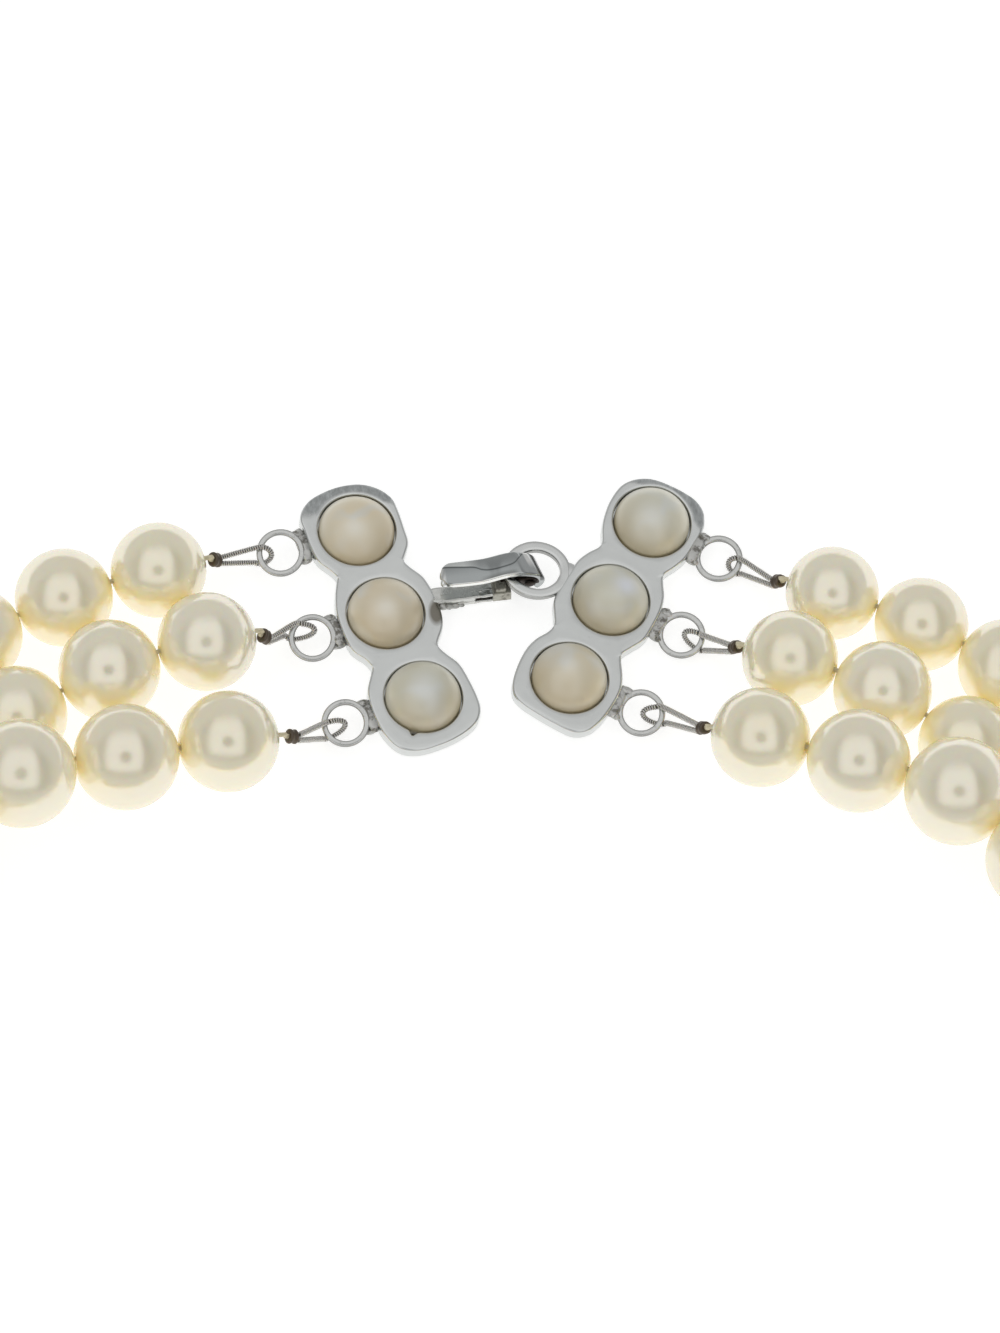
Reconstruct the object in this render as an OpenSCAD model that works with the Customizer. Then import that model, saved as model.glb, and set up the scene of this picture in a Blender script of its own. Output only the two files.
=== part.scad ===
// Three-strand pearl choker lying closed on a table, clasp at the back (+Y), front strands toward -Y.
// Units are millimetres, +Z is up, z = 0 is the table.
// The origin is the middle of the footprint, on the table.

/* [Pearls] */
// Diameter of the pearls at the front of the strands before they are fitted to their route
front_pearl_d = 11.2; // [8:0.1:13]
// Clear gap between two pearls on one strand
pearl_gap = 0.12; // [0.05:0.01:0.4]
// Distance between two strands lying side by side
strand_pitch = 11.35; // [10:0.05:14]
// Diameter of the drill hole of a pearl
drill_d = 1.2; // [0.8:0.1:2]
// Diameter of the thread
thread_d = 0.5; // [0.3:0.05:0.8]
// Diameter of the knots between the joined pearls
knot_d = 1.5; // [1:0.1:2.5]
// Pearls of the outer strand between its third ones from the clasp
outer_hidden = 35; // [20:1:45]
// Pearls of the middle strand between its third ones from the clasp
middle_hidden = 29; // [18:1:40]
// Pearls of the inner strand between its third ones from the clasp
inner_hidden = 24; // [15:1:35]

/* [Clasp plates] */
// Thickness of a clasp plate
plate_t = 1.6; // [1:0.1:3]
// Distance between two half pearls along a plate
seat_pitch = 10.3; // [9:0.05:12]
// Half width of a plate at a lobe
lobe_half_w = 5.4; // [4.5:0.1:7]
// Radius of the scallops along the edge
lobe_r = 6.3; // [5:0.1:8]
// Diameter of the round seats
seat_d = 8.2; // [6:0.05:10]
// Depth of the round seats
seat_depth = 1.1; // [0.5:0.05:1.4]
// Diameter of the half pearls
half_pearl_d = 8; // [5:0.05:9.5]

/* [Rings] */
// Diameter of the round wire of a strand ring
ring_wire_d = 0.58; // [0.4:0.02:1]
// Diameter of a strand ring, to the middle of its wire
ring_mid_d = 4.42; // [3:0.02:6]
// Diameter of the wire of the catch ring
catch_wire_d = 1.1; // [0.6:0.05:1.6]
// Diameter of the catch ring, to the middle of its wire
catch_mid_d = 6.2; // [5:0.05:8]
// Thickness of the coiled wire of the loops
loop_wire_d = 0.66; // [0.4:0.02:0.9]
// Diameter of a crimp bead
crimp_d = 1.6; // [0.9:0.02:2]

/* [Lever] */
// Width of the lever
lever_w = 2.7; // [2:0.1:4]
// Thickness of the lever
lever_t = 0.75; // [0.4:0.05:1.2]
// Length of the lever from the hinge to its free end
lever_len = 9.1; // [6:0.1:12]
// Outer radius of the curled end of the lever
curl_r = 2.0; // [1.4:0.05:2.4]
// Diameter of the hinge pin
pin_d = 0.8; // [0.5:0.05:1.2]

/* [Hidden] */
$fn = 64;

// Moves the middle of the footprint to the origin
shift = [1.965, 64.94, 0];

// Sides: 0 is left, 1 is right. Strands: 0 is the outer one, 1 the middle one, 2 the inner one.
// Clasp plates. Columns: x, y and z of the middle of the top face, turn about z, tilt about y
plates = [[-11.9, -0.42, 2.56, 20, 5.1], [11.55, 0.9, 3.0, -25, 7.2]];
// Strand rings in their plate's frame, top face at 0. Columns: x, y, z, tilt toward the front,
// direction in which the wire loop leaves, half the spread of the loop's legs, reach of the loop into the ring
rings = [
    [[-7.95, 10.2, -0.8, 14, 187, 0.75, 1.25], [-8.1, -0.1, -0.8, 16, 162, 0.75, 2.3], [-8.15, -10.4, -0.8, 16, 202, 0.7, 2.15]],
    [[7.96, 9.88, -0.3, 8, -22, 0.65, 1.1], [8.18, 0.15, -0.7, 10, -22, 0.65, 2.0], [8.25, -10.0, -0.8, 12, -8, 0.75, 2.05]]
];
// Crimp beads. Columns: x, y, z
crimps = [
    [[-29.7, 4.9, 4.3], [-24.5, -4.34, 5.0], [-21.6, -16.19, 5.6]],
    [[29.0, 2.6, 3.9], [24.5, -5.69, 5.2], [21.1, -15.78, 6.8]]
];
// First pearl of each strand at the clasp. Columns: x, y, z
first_pearl = [
    [[-35.55, 2.88, 5.93], [-30.46, -5.94, 7.03], [-28.15, -17.80, 7.73]],
    [[34.58, 0.48, 5.38], [30.12, -8.14, 7.55], [27.00, -18.29, 9.71]]
];
// Course of the first three pearls. Columns: fall in plan to the second, climb to it,
// fall in plan to the third, climb to it, all in degrees
course = [
    [[15.9, -4.4, 25.7, 0.1], [17.6, -0.9, 25.9, -7.0], [13.2, 7.4, 15.0, 10.6]],
    [[20.3, -2.6, 29.6, 0.5], [21.0, -0.2, 31.4, -10.1], [17.9, 6.4, 21.9, 7.0]]
];
// Radii of the first three pearls of the outer, middle and inner strand
first_r = [
    [[5.00, 5.14, 5.14], [5.16, 5.33, 5.23], [5.29, 5.53, 5.69]],
    [[4.86, 4.91, 4.98], [5.01, 5.15, 5.10], [5.18, 5.40, 5.65]]
];
hidden_n = [outer_hidden, middle_hidden, inner_hidden];

// ---- helpers ----
function unit(v) = v / norm(v);
// Point of a plate's frame in the choker's frame
function on_plate(g, p) = let (
    q = plates[g][3], t = plates[g][4],
    x1 = p.x * cos(q) - p.y * sin(q), y1 = p.x * sin(q) + p.y * cos(q))
    [plates[g][0] + x1 * cos(t) + p.z * sin(t), plates[g][1] + y1, plates[g][2] - x1 * sin(t) + p.z * cos(t)];

// ---- the first three pearls ----
function step_dir(g, fall, climb) =
    [(g == 0 ? -1 : 1) * cos(fall) * cos(climb), -sin(fall) * cos(climb), sin(climb)];
function pearl2(g, k) = first_pearl[g][k]
    + (first_r[g][k][0] + first_r[g][k][1] + pearl_gap) * step_dir(g, course[g][k][0], course[g][k][1]);
function pearl3(g, k) = pearl2(g, k)
    + (first_r[g][k][1] + first_r[g][k][2] + pearl_gap) * step_dir(g, course[g][k][2], course[g][k][3]);

// ---- the rest of a strand: five arcs, round the left shoulder, side, front, side, right shoulder ----
shoulder_r = 61;
side_r = 79;
front_r = 97.8;
side_l = [-10, -59];
side_rt = [6, -61];
shoulder_l = side_l - [side_r - shoulder_r, 0];
shoulder_rt = side_rt + [side_r - shoulder_r, 0];
// Centre of the front arc, which touches both side arcs
front_c = let (m = (side_l + side_rt) / 2, d = side_rt - side_l, h = norm(d) / 2)
    m + [-d.y, d.x] / norm(d) * sqrt(pow(front_r - side_r, 2) - h * h);
front_a0 = 360 + atan2(side_l.y - front_c.y, side_l.x - front_c.x);
front_a1 = 360 + atan2(side_rt.y - front_c.y, side_rt.x - front_c.x);
function polar_l(k) = let (p = pearl3(0, k)) atan2(p.y - shoulder_l.y, p.x - shoulder_l.x);
function polar_rt(k) = let (p = pearl3(1, k)) atan2(p.y - shoulder_rt.y, p.x - shoulder_rt.x);
// Arcs of strand k. Columns: centre, radius, first angle, last angle
function arcs(k) = [
    [shoulder_l, shoulder_r - k * strand_pitch, polar_l(k), 180],
    [side_l, side_r - k * strand_pitch, 180, front_a0],
    [front_c, front_r - k * strand_pitch, front_a0, front_a1],
    [side_rt, side_r - k * strand_pitch, front_a1, 360],
    [shoulder_rt, shoulder_r - k * strand_pitch, 360, 360 + polar_rt(k)]
];
function arc_len(a) = a[1] * (a[3] - a[2]) * PI / 180;
function sum(v, i = 0) = i < len(v) ? v[i] + sum(v, i + 1) : 0;
function route_len(k) = sum([for (a = arcs(k)) arc_len(a)]);
// How far the third pearl lies outside the arc, and how that dies away along the strand
off_l = [for (k = [0 : 2]) norm([pearl3(0, k).x, pearl3(0, k).y] - shoulder_l) - (shoulder_r - k * strand_pitch)];
off_rt = [for (k = [0 : 2]) norm([pearl3(1, k).x, pearl3(1, k).y] - shoulder_rt) - (shoulder_r - k * strand_pitch)];
fade_len = 48;
function fade(s) = s < fade_len ? (1 + cos(180 * s / fade_len)) / 2 : 0;
function route_xy(a, s, off, i = 0) = let (l = arc_len(a[i]))
    (s > l && i < 4) ? route_xy(a, s - l, off, i + 1)
    : let (t = a[i][2] + s / a[i][1] * 180 / PI) a[i][0] + (a[i][1] + off) * [cos(t), sin(t)];
// Plan position at length s along strand k, whose arcs are a and length l
function plan_at(k, a, l, s) = route_xy(a, s, off_l[k] * fade(s) + off_rt[k] * fade(l - s));
// Height at which a pearl of radius r rests on the table and on the pearls already laid
function rest_z(xy, r, laid) = max(concat([r],
    [for (p = laid) let (d = norm([p[0].x, p[0].y] - xy), c = r + p[1] + 0.06) if (d < c) p[0].z + sqrt(c * c - d * d)]));
function pos_at(k, a, l, s, r, laid) = let (xy = plan_at(k, a, l, s)) [xy.x, xy.y, rest_z(xy, r, laid)];
// Length s at which a pearl of radius r lies at distance d from point p
function find_s(k, a, l, s, p, d, r, laid, n = 30) = n == 0 ? s
    : find_s(k, a, l, s + 0.6 * (d - norm(pos_at(k, a, l, s, r, laid) - p)), p, d, r, laid, n - 1);
// Pearls grow over the first few from each end
function grow(i, n) = let (t = min(1, min(i, n + 1 - i) / 5)) t * (2 - t);
function end_r(k, i) = first_r[0][k][2] + (first_r[1][k][2] - first_r[0][k][2]) * i / (hidden_n[k] + 1);
function hidden_r(k, rf) = [for (i = [1 : hidden_n[k]]) end_r(k, i) + (rf - end_r(k, i)) * grow(i, hidden_n[k])];
function grow_sum(k) = sum([for (i = [1 : hidden_n[k]]) grow(i, hidden_n[k])]);
// Lays the hidden pearls one after another. Each entry is centre, radius
function lay(k, a, l, rs, gap, laid, i = 0, s = 0, p = undef, rp = 0) = i == len(rs) ? [] :
    let (r = rs[i], d = rp + r + gap, s1 = find_s(k, a, l, s + d, p, d, r, laid), q = pos_at(k, a, l, s1, r, laid))
    concat([[q, r]], lay(k, a, l, rs, gap, laid, i + 1, s1, q, r));
// Lays the strand again with a better front radius rf, until the pearls just fill the route
function lay_fit(k, a, l, rf, laid, n) =
    let (h = lay(k, a, l, hidden_r(k, rf), pearl_gap, laid, 0, 0, pearl3(0, k), first_r[0][k][2]), e = h[len(h) - 1],
        left_over = norm(pearl3(1, k) - e[0]) - e[1] - first_r[1][k][2] - pearl_gap)
    n == 0 ? h : lay_fit(k, a, l, rf + 0.6 * left_over / (2 * grow_sum(k)), laid, n - 1);
function ends(k) = [for (g = [0, 1]) each [[first_pearl[g][k], first_r[g][k][0]], [pearl2(g, k), first_r[g][k][1]], [pearl3(g, k), first_r[g][k][2]]]];
function hidden(k, laid) = lay_fit(k, arcs(k), route_len(k), front_pearl_d / 2, laid, 16);
outer = hidden(0, []);
middle = hidden(1, concat(outer, ends(0)));
inner = hidden(2, concat(middle, ends(1)));
hidden_pearls = [outer, middle, inner];

// Thread course at one end: crimp, then the points where the thread passes from pearl to pearl
function four(g, k) = [first_pearl[g][k], pearl2(g, k), pearl3(g, k), g == 0 ? hidden_pearls[k][0][0] : hidden_pearls[k][hidden_n[k] - 1][0]];
function thread_pts(g, k) = let (p = four(g, k), c = crimps[g][k], r = first_r[g][k],
    a0 = unit(p[1] - c), a1 = unit(p[2] - p[0]), a2 = unit(p[3] - p[1]), a3 = unit(p[3] - p[2]))
    [c, p[0] - r[0] * a0, (p[0] + r[0] * a0 + p[1] - r[1] * a1) / 2, (p[1] + r[1] * a1 + p[2] - r[2] * a2) / 2, p[2] + r[2] * a2];

// ---- shapes ----
module placed() { translate(shift) children(); }
module on_plate_frame(g) {
    translate([plates[g][0], plates[g][1], plates[g][2]]) rotate([0, plates[g][4], 0]) rotate([0, 0, plates[g][3]]) children();
}
// Round rod from a to b
module rod(a, b, r) {
    d = b - a;
    translate(a) rotate([0, acos(d.z / norm(d)), atan2(d.y, d.x)]) rotate([0, 0, 100]) cylinder(r = r, h = norm(d));
}
// Ball whose poles point away from the thread
module ball(p, r) { translate(p) rotate([62, 17, 0]) sphere(r = r); }
// Tube of radius r along a path of points, where side is never along the path
module tube(path, r, side, n = 10) {
    m = len(path) - 1;
    pts = [for (i = [0 : m]) let (a = unit(path[min(i + 1, m)] - path[max(i - 1, 0)]), e = unit(cross(a, side)), f = cross(e, a))
        for (j = [0 : n - 1]) path[i] + r * (e * cos(360 * j / n) + f * sin(360 * j / n))];
    faces = concat([[for (j = [n - 1 : -1 : 0]) j]], [[for (j = [0 : n - 1]) m * n + j]],
        [for (i = [0 : m - 1]) for (j = [0 : n - 1]) let (a = i * n + j, b = i * n + (j + 1) % n) each [[a, b, a + n], [a + n, b, b + n]]]);
    polyhedron(pts, faces, convexity = 6);
}
module torus(mid_d, wire_d) { rotate_extrude() translate([mid_d / 2, 0]) circle(d = wire_d); }

module plate_body() {
    for (k = [-1 : 1]) translate([0, -k * seat_pitch, -plate_t]) linear_extrude(plate_t)
        intersection() { circle(r = lobe_r); square([2 * lobe_half_w, 2 * 5.6], center = true); }
}
module plate(g) {
    difference() {
        union() {
            plate_body();
            // strand rings, each with its solder
            for (k = [0 : 2]) {
                ring = rings[g][k];
                out = g == 0 ? -1 : 1;
                translate([ring.x, ring.y, ring.z]) rotate([0, 0, -plates[g][3]]) rotate([0, -plates[g][4], 0]) rotate([ring[3], 0, 0]) torus(ring_mid_d, ring_wire_d);
                for (s = [-1, 1]) let (a = lobe_half_w - 0.5, b = abs(ring.x) - ring_mid_d / 2 + 0.75)
                    translate([out * (a + b) / 2, ring.y + s * 1.12, ring.z + s * 1.12 * sin(ring[3])]) cube([b - a, 0.74, 0.7], center = true);
            }
            // chunk under the ends keeps the scallops joined
            translate([-3, -seat_pitch * 1.2, -plate_t]) cube([6, seat_pitch * 2.4, plate_t]);
            if (g == 1) translate([-8.56, -0.46, -0.6]) torus(catch_mid_d, catch_wire_d);
        }
        for (k = [-1 : 1]) translate([0, k * seat_pitch, -seat_depth]) cylinder(d = seat_d, h = seat_depth + 1);
        // sloping top end
        translate([-10, 14.1, 0]) rotate([-24, 0, 0]) cube([20, 4, 4]);
    }
}

// Hinge: pin, place of its middle and direction of the clasp in plan
hinge = [2.9, 4.15, 3.15];
clasp_turn = 8.5;
module hinge_frame() { translate(hinge) rotate([0, 0, clasp_turn]) children(); }
module cross_cylinder(r, w, y = 0) { translate([0, y, 0]) rotate([90, 0, 0]) cylinder(r = r, h = w, center = true); }
knuckle_r = 0.85;
// Base bar: front and back edge across the clasp
bar_front = -1.75;
bar_back = 0.05;
module base_bar() {
    difference() {
        union() {
            translate([-10.9, bar_front, -2.6]) cube([9.1, bar_back - bar_front, 1.55]);
            translate([-3.5, -1.6, -2.6]) cube([1.0, 2.9, 2.3]);
            translate([-3.0, -0.75, -0.78]) cube([2.6, 1.5, 0.48]);
            cross_cylinder(knuckle_r, 1.5);
        }
        // split between the two layers of the bar
        translate([-5.7, -2, -1.98]) cube([1.9, 1.5, 0.26]);
        cross_cylinder(pin_d / 2 + 0.06, 4);
    }
}
module clasp_plate_left() {
    color([0.75, 0.76, 0.77]) placed() {
        on_plate_frame(0) plate(0);
        hinge_frame() base_bar();
        hinge_frame() translate([-9.2, -1.55, -2.0]) sphere(r = 0.55);
    }
}
module clasp_plate_right() { color([0.75, 0.76, 0.77]) placed() on_plate_frame(1) plate(1); }

module clasp_lever() {
    color([0.68, 0.70, 0.71]) placed() hinge_frame() difference() {
        union() {
            // leaf with a rounded free end
            translate([0, 0, curl_r - lever_t]) intersection() {
                translate([-lever_len, -lever_w / 2, 0]) cube([lever_len + 0.01, lever_w, lever_t]);
                translate([-lever_len + 2.2, 0, -1]) union() {
                    cylinder(r = 2.2, h = 4);
                    translate([0, -5, 0]) cube([20, 10, 4]);
                }
            }
            // curled end
            difference() {
                cross_cylinder(curl_r, lever_w);
                cross_cylinder(curl_r - lever_t, lever_w + 1);
                translate([-10, -5, -5]) cube([10, 10, 10]);
                rotate([0, 60, 0]) translate([0, -5, -10]) cube([10, 10, 10]);
            }
            // ears round the pin
            for (s = [-1, 1]) {
                cross_cylinder(knuckle_r, 0.5, s * (lever_w / 2 - 0.25));
                translate([0, s * (lever_w / 2 - 0.25) - 0.25, -0.45]) cube([curl_r - 0.35, 0.5, 0.9]);
            }
        }
        cross_cylinder(pin_d / 2 + 0.06, lever_w + 1);
    }
}
module lever_pin() {
    color([0.80, 0.80, 0.79]) placed() hinge_frame() {
        cross_cylinder(pin_d / 2, lever_w + 0.5);
        cross_cylinder(0.58, 0.16, -lever_w / 2 - 0.18);
        cross_cylinder(0.58, 0.16, lever_w / 2 + 0.18);
    }
}

module half_pearl(g, k) {
    color([0.80, 0.76, 0.66]) placed() on_plate_frame(g)
        translate([0, (1 - k) * seat_pitch, -seat_depth + 0.04]) difference() {
            sphere(d = half_pearl_d);
            translate([-10, -10, -20]) cube([20, 20, 20]);
        }
}

module crimp(g, k) {
    c = crimps[g][k];
    d = unit(thread_pts(g, k)[1] - c);
    color([0.32, 0.25, 0.18]) placed() translate(c) rotate([0, acos(d.z), atan2(d.y, d.x)]) difference() {
        intersection() {
            sphere(r = 0.93);
            cylinder(d = crimp_d, h = 1.1, center = true);
        }
        cylinder(d = thread_d + 0.16, h = 3, center = true);
    }
}

// Ring frame: middle, two directions in its plane and its normal
function ring_c(g, k) = on_plate(g, [rings[g][k].x, rings[g][k].y, rings[g][k].z]);
function ring_n(g, k) = let (a = rings[g][k][3]) [0, -sin(a), cos(a)];
// Coiled wire: out from the crimp, over the ring, round its wire and back under it
module wire_loop(g, k) {
    c = ring_c(g, k);
    n = ring_n(g, k);
    e1 = [1, 0, 0];
    e2 = cross(n, e1);
    f = rings[g][k][4];
    u = e1 * cos(f) + e2 * sin(f);
    v = (g == 0 ? -1 : 1) * cross(n, u);
    w = c + u * ring_mid_d / 2;
    round_r = ring_wire_d / 2 + loop_wire_d / 2 + 0.07;
    q = unit(n * round_r + v * rings[g][k][5]);
    hook_r = norm([round_r, rings[g][k][5]]);
    turn = [for (a = [0 : 20 : 220]) w + hook_r * q * cos(a) - (a < 180 ? rings[g][k][6] : hook_r) * u * sin(a)];
    cr = crimps[g][k];
    d = unit(thread_pts(g, k)[1] - cr);
    start = cr - d * 0.72;
    q1 = unit(q - d * (q * d)) * (loop_wire_d / 2 + 0.03);
    color([0.70, 0.70, 0.70]) placed() tube(concat([start + q1, start + q1 - d * 0.4], turn, [start - q1 - d * 0.4, start - q1]), loop_wire_d / 2, cross(q, u));
}

module thread(g, k) {
    p = thread_pts(g, k);
    e = p[4] + unit(p[3] - p[4]) * 0.25;
    color([0.86, 0.80, 0.66]) placed() tube([p[0], p[1], p[2], p[3], e], thread_d / 2, [0, 0, 1]);
}

module pearl(g, k, i) {
    p = four(g, k)[i];
    r = first_r[g][k][i];
    t = thread_pts(g, k);
    color([0.93, 0.91, 0.86]) placed() difference() {
        ball(p, r);
        rod(t[i + 1] + unit(t[i + 1] - t[i + 2]) * 2, t[i + 2] + unit(t[i + 2] - t[i + 1]) * 2, drill_d / 2);
    }
}

// Row of hidden pearls joined by the knots of their thread
module strand_part(k, part) {
    h = hidden_pearls[k];
    n = len(h);
    i0 = round(n * (part - 1) / 4);
    i1 = round(n * part / 4) - 1;
    color([0.93, 0.91, 0.86]) placed() {
        for (i = [i0 : i1]) let (u = h[min(i + 1, n - 1)][0] - h[max(i - 1, 0)][0])
            translate(h[i][0]) rotate([0, 0, atan2(u.y, u.x) + 90]) sphere(r = h[i][1]);
        // knot between two pearls
        for (i = [i0 : i1 - 1]) let (u = unit(h[i + 1][0] - h[i][0]))
            translate(h[i][0] + u * (h[i][1] + pearl_gap / 2)) rotate([28, 41, 0]) sphere(r = knot_d / 2);
    }
}

clasp_plate_left();
clasp_plate_right();
clasp_lever();
lever_pin();
for (k = [0 : 2]) {
    half_pearl(0, k);
    half_pearl(1, k);
    crimp(0, k);
    crimp(1, k);
    wire_loop(0, k);
    wire_loop(1, k);
    thread(0, k);
    thread(1, k);
    for (i = [0 : 2]) {
        pearl(0, k, i);
        pearl(1, k, i);
    }
    for (i = [1 : 4]) strand_part(k, i);
}
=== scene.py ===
"""Pearl choker with a fold-over lever clasp, lying on a white table."""
import math
import random

import bpy
import numpy as np
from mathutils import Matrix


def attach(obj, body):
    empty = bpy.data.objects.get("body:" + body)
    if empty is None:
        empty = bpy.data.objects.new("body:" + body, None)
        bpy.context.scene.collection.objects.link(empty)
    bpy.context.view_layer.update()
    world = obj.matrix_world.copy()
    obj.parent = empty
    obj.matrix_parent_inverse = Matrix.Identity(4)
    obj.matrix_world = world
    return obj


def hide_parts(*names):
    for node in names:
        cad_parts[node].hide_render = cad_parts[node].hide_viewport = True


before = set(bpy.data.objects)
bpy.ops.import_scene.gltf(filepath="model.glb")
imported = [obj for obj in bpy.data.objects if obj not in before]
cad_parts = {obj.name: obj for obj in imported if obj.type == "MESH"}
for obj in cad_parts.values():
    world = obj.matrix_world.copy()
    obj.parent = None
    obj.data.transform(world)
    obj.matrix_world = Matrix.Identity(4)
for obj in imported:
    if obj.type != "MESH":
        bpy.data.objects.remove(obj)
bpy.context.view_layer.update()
scene = bpy.context.scene
rng = random.Random(7)
MM = 0.001
SHIFT = np.array([1.965, 64.94, 0.0])

# ------------------------------------------------------------------ camera
TARGET = np.array([0.0, -5.39, 0.0])
ELEV = math.radians(64.0)
DIST = 2.6
FIELD = 0.10417
cam_data = bpy.data.cameras.new("camera")
cam = bpy.data.objects.new("camera", cam_data)
scene.collection.objects.link(cam)
cam.location = ((TARGET + SHIFT) * MM).tolist()
cam.location.y -= DIST * math.cos(ELEV)
cam.location.z += DIST * math.sin(ELEV)
cam.rotation_euler = (math.pi / 2 - ELEV, 0, 0)
cam_data.sensor_fit = "HORIZONTAL"
cam_data.sensor_width = 36.0
cam_data.lens = 36.0 * DIST / FIELD
cam_data.clip_start = 0.1
cam_data.clip_end = 20
scene.camera = cam
scene.view_settings.view_transform = "Standard"
scene.view_settings.look = "None"

# ------------------------------------------------------------------ layout, as in the CAD source (mm)
GAP, PITCH = 0.12, 11.35
PLATES = [(-11.9, -0.42, 2.56, 20.0, 5.1), (11.55, 0.9, 3.0, -25.0, 7.2)]
RINGS = [
    [(-7.95, 10.2, -0.8, 14, 187, 0.75, 1.25), (-8.1, -0.1, -0.8, 16, 162, 0.75, 2.3), (-8.15, -10.4, -0.8, 16, 202, 0.7, 2.15)],
    [(7.96, 9.88, -0.3, 8, -22, 0.65, 1.1), (8.18, 0.15, -0.7, 10, -22, 0.65, 2.0), (8.25, -10.0, -0.8, 12, -8, 0.75, 2.05)],
]
# Middle of the hinge pin and direction of the clasp in plan
HINGE = np.array([2.9, 4.15, 3.15])
TURN = 8.5
CRIMPS = [
    [(-29.7, 4.9, 4.3), (-24.5, -4.34, 5.0), (-21.6, -16.19, 5.6)],
    [(29.0, 2.6, 3.9), (24.5, -5.69, 5.2), (21.1, -15.78, 6.8)],
]
FIRST = [
    [(-35.55, 2.88, 5.93), (-30.46, -5.94, 7.03), (-28.15, -17.80, 7.73)],
    [(34.58, 0.48, 5.38), (30.12, -8.14, 7.55), (27.00, -18.29, 9.71)],
]
COURSE = [
    [(15.9, -4.4, 25.7, 0.1), (17.6, -0.9, 25.9, -7.0), (13.2, 7.4, 15.0, 10.6)],
    [(20.3, -2.6, 29.6, 0.5), (21.0, -0.2, 31.4, -10.1), (17.9, 6.4, 21.9, 7.0)],
]
FIRST_R = [
    [(5.00, 5.14, 5.14), (5.16, 5.33, 5.23), (5.29, 5.53, 5.69)],
    [(4.86, 4.91, 4.98), (5.01, 5.15, 5.10), (5.18, 5.40, 5.65)],
]
HIDDEN_N = (35, 29, 24)


def unit(v):
    v = np.asarray(v, float)
    return v / np.linalg.norm(v)


def dcos(a):
    return math.cos(math.radians(a))


def dsin(a):
    return math.sin(math.radians(a))


def on_plate(g, p):
    cx, cy, cz, q, t = PLATES[g]
    x1 = p[0] * dcos(q) - p[1] * dsin(q)
    y1 = p[0] * dsin(q) + p[1] * dcos(q)
    return np.array([cx + x1 * dcos(t) + p[2] * dsin(t), cy + y1, cz - x1 * dsin(t) + p[2] * dcos(t)])


def step_dir(g, fall, climb):
    return np.array([(-1 if g == 0 else 1) * dcos(fall) * dcos(climb), -dsin(fall) * dcos(climb), dsin(climb)])


def three(g, k):
    r = FIRST_R[g][k]
    c = COURSE[g][k]
    p1 = np.array(FIRST[g][k])
    p2 = p1 + (r[0] + r[1] + GAP) * step_dir(g, c[0], c[1])
    p3 = p2 + (r[1] + r[2] + GAP) * step_dir(g, c[2], c[3])
    return [p1, p2, p3]


SHOULDER_R, SIDE_R, FRONT_R = 61.0, 79.0, 97.8
SIDE_L, SIDE_RT = np.array([-10.0, -59.0]), np.array([6.0, -61.0])
SHOULDER_L = SIDE_L - np.array([SIDE_R - SHOULDER_R, 0])
SHOULDER_RT = SIDE_RT + np.array([SIDE_R - SHOULDER_R, 0])
_m, _d = (SIDE_L + SIDE_RT) / 2, SIDE_RT - SIDE_L
_h = np.linalg.norm(_d) / 2
FRONT_C = _m + np.array([-_d[1], _d[0]]) / np.linalg.norm(_d) * math.sqrt((FRONT_R - SIDE_R) ** 2 - _h * _h)
A0 = 360 + math.degrees(math.atan2(SIDE_L[1] - FRONT_C[1], SIDE_L[0] - FRONT_C[0]))
A1 = 360 + math.degrees(math.atan2(SIDE_RT[1] - FRONT_C[1], SIDE_RT[0] - FRONT_C[0]))


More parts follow.
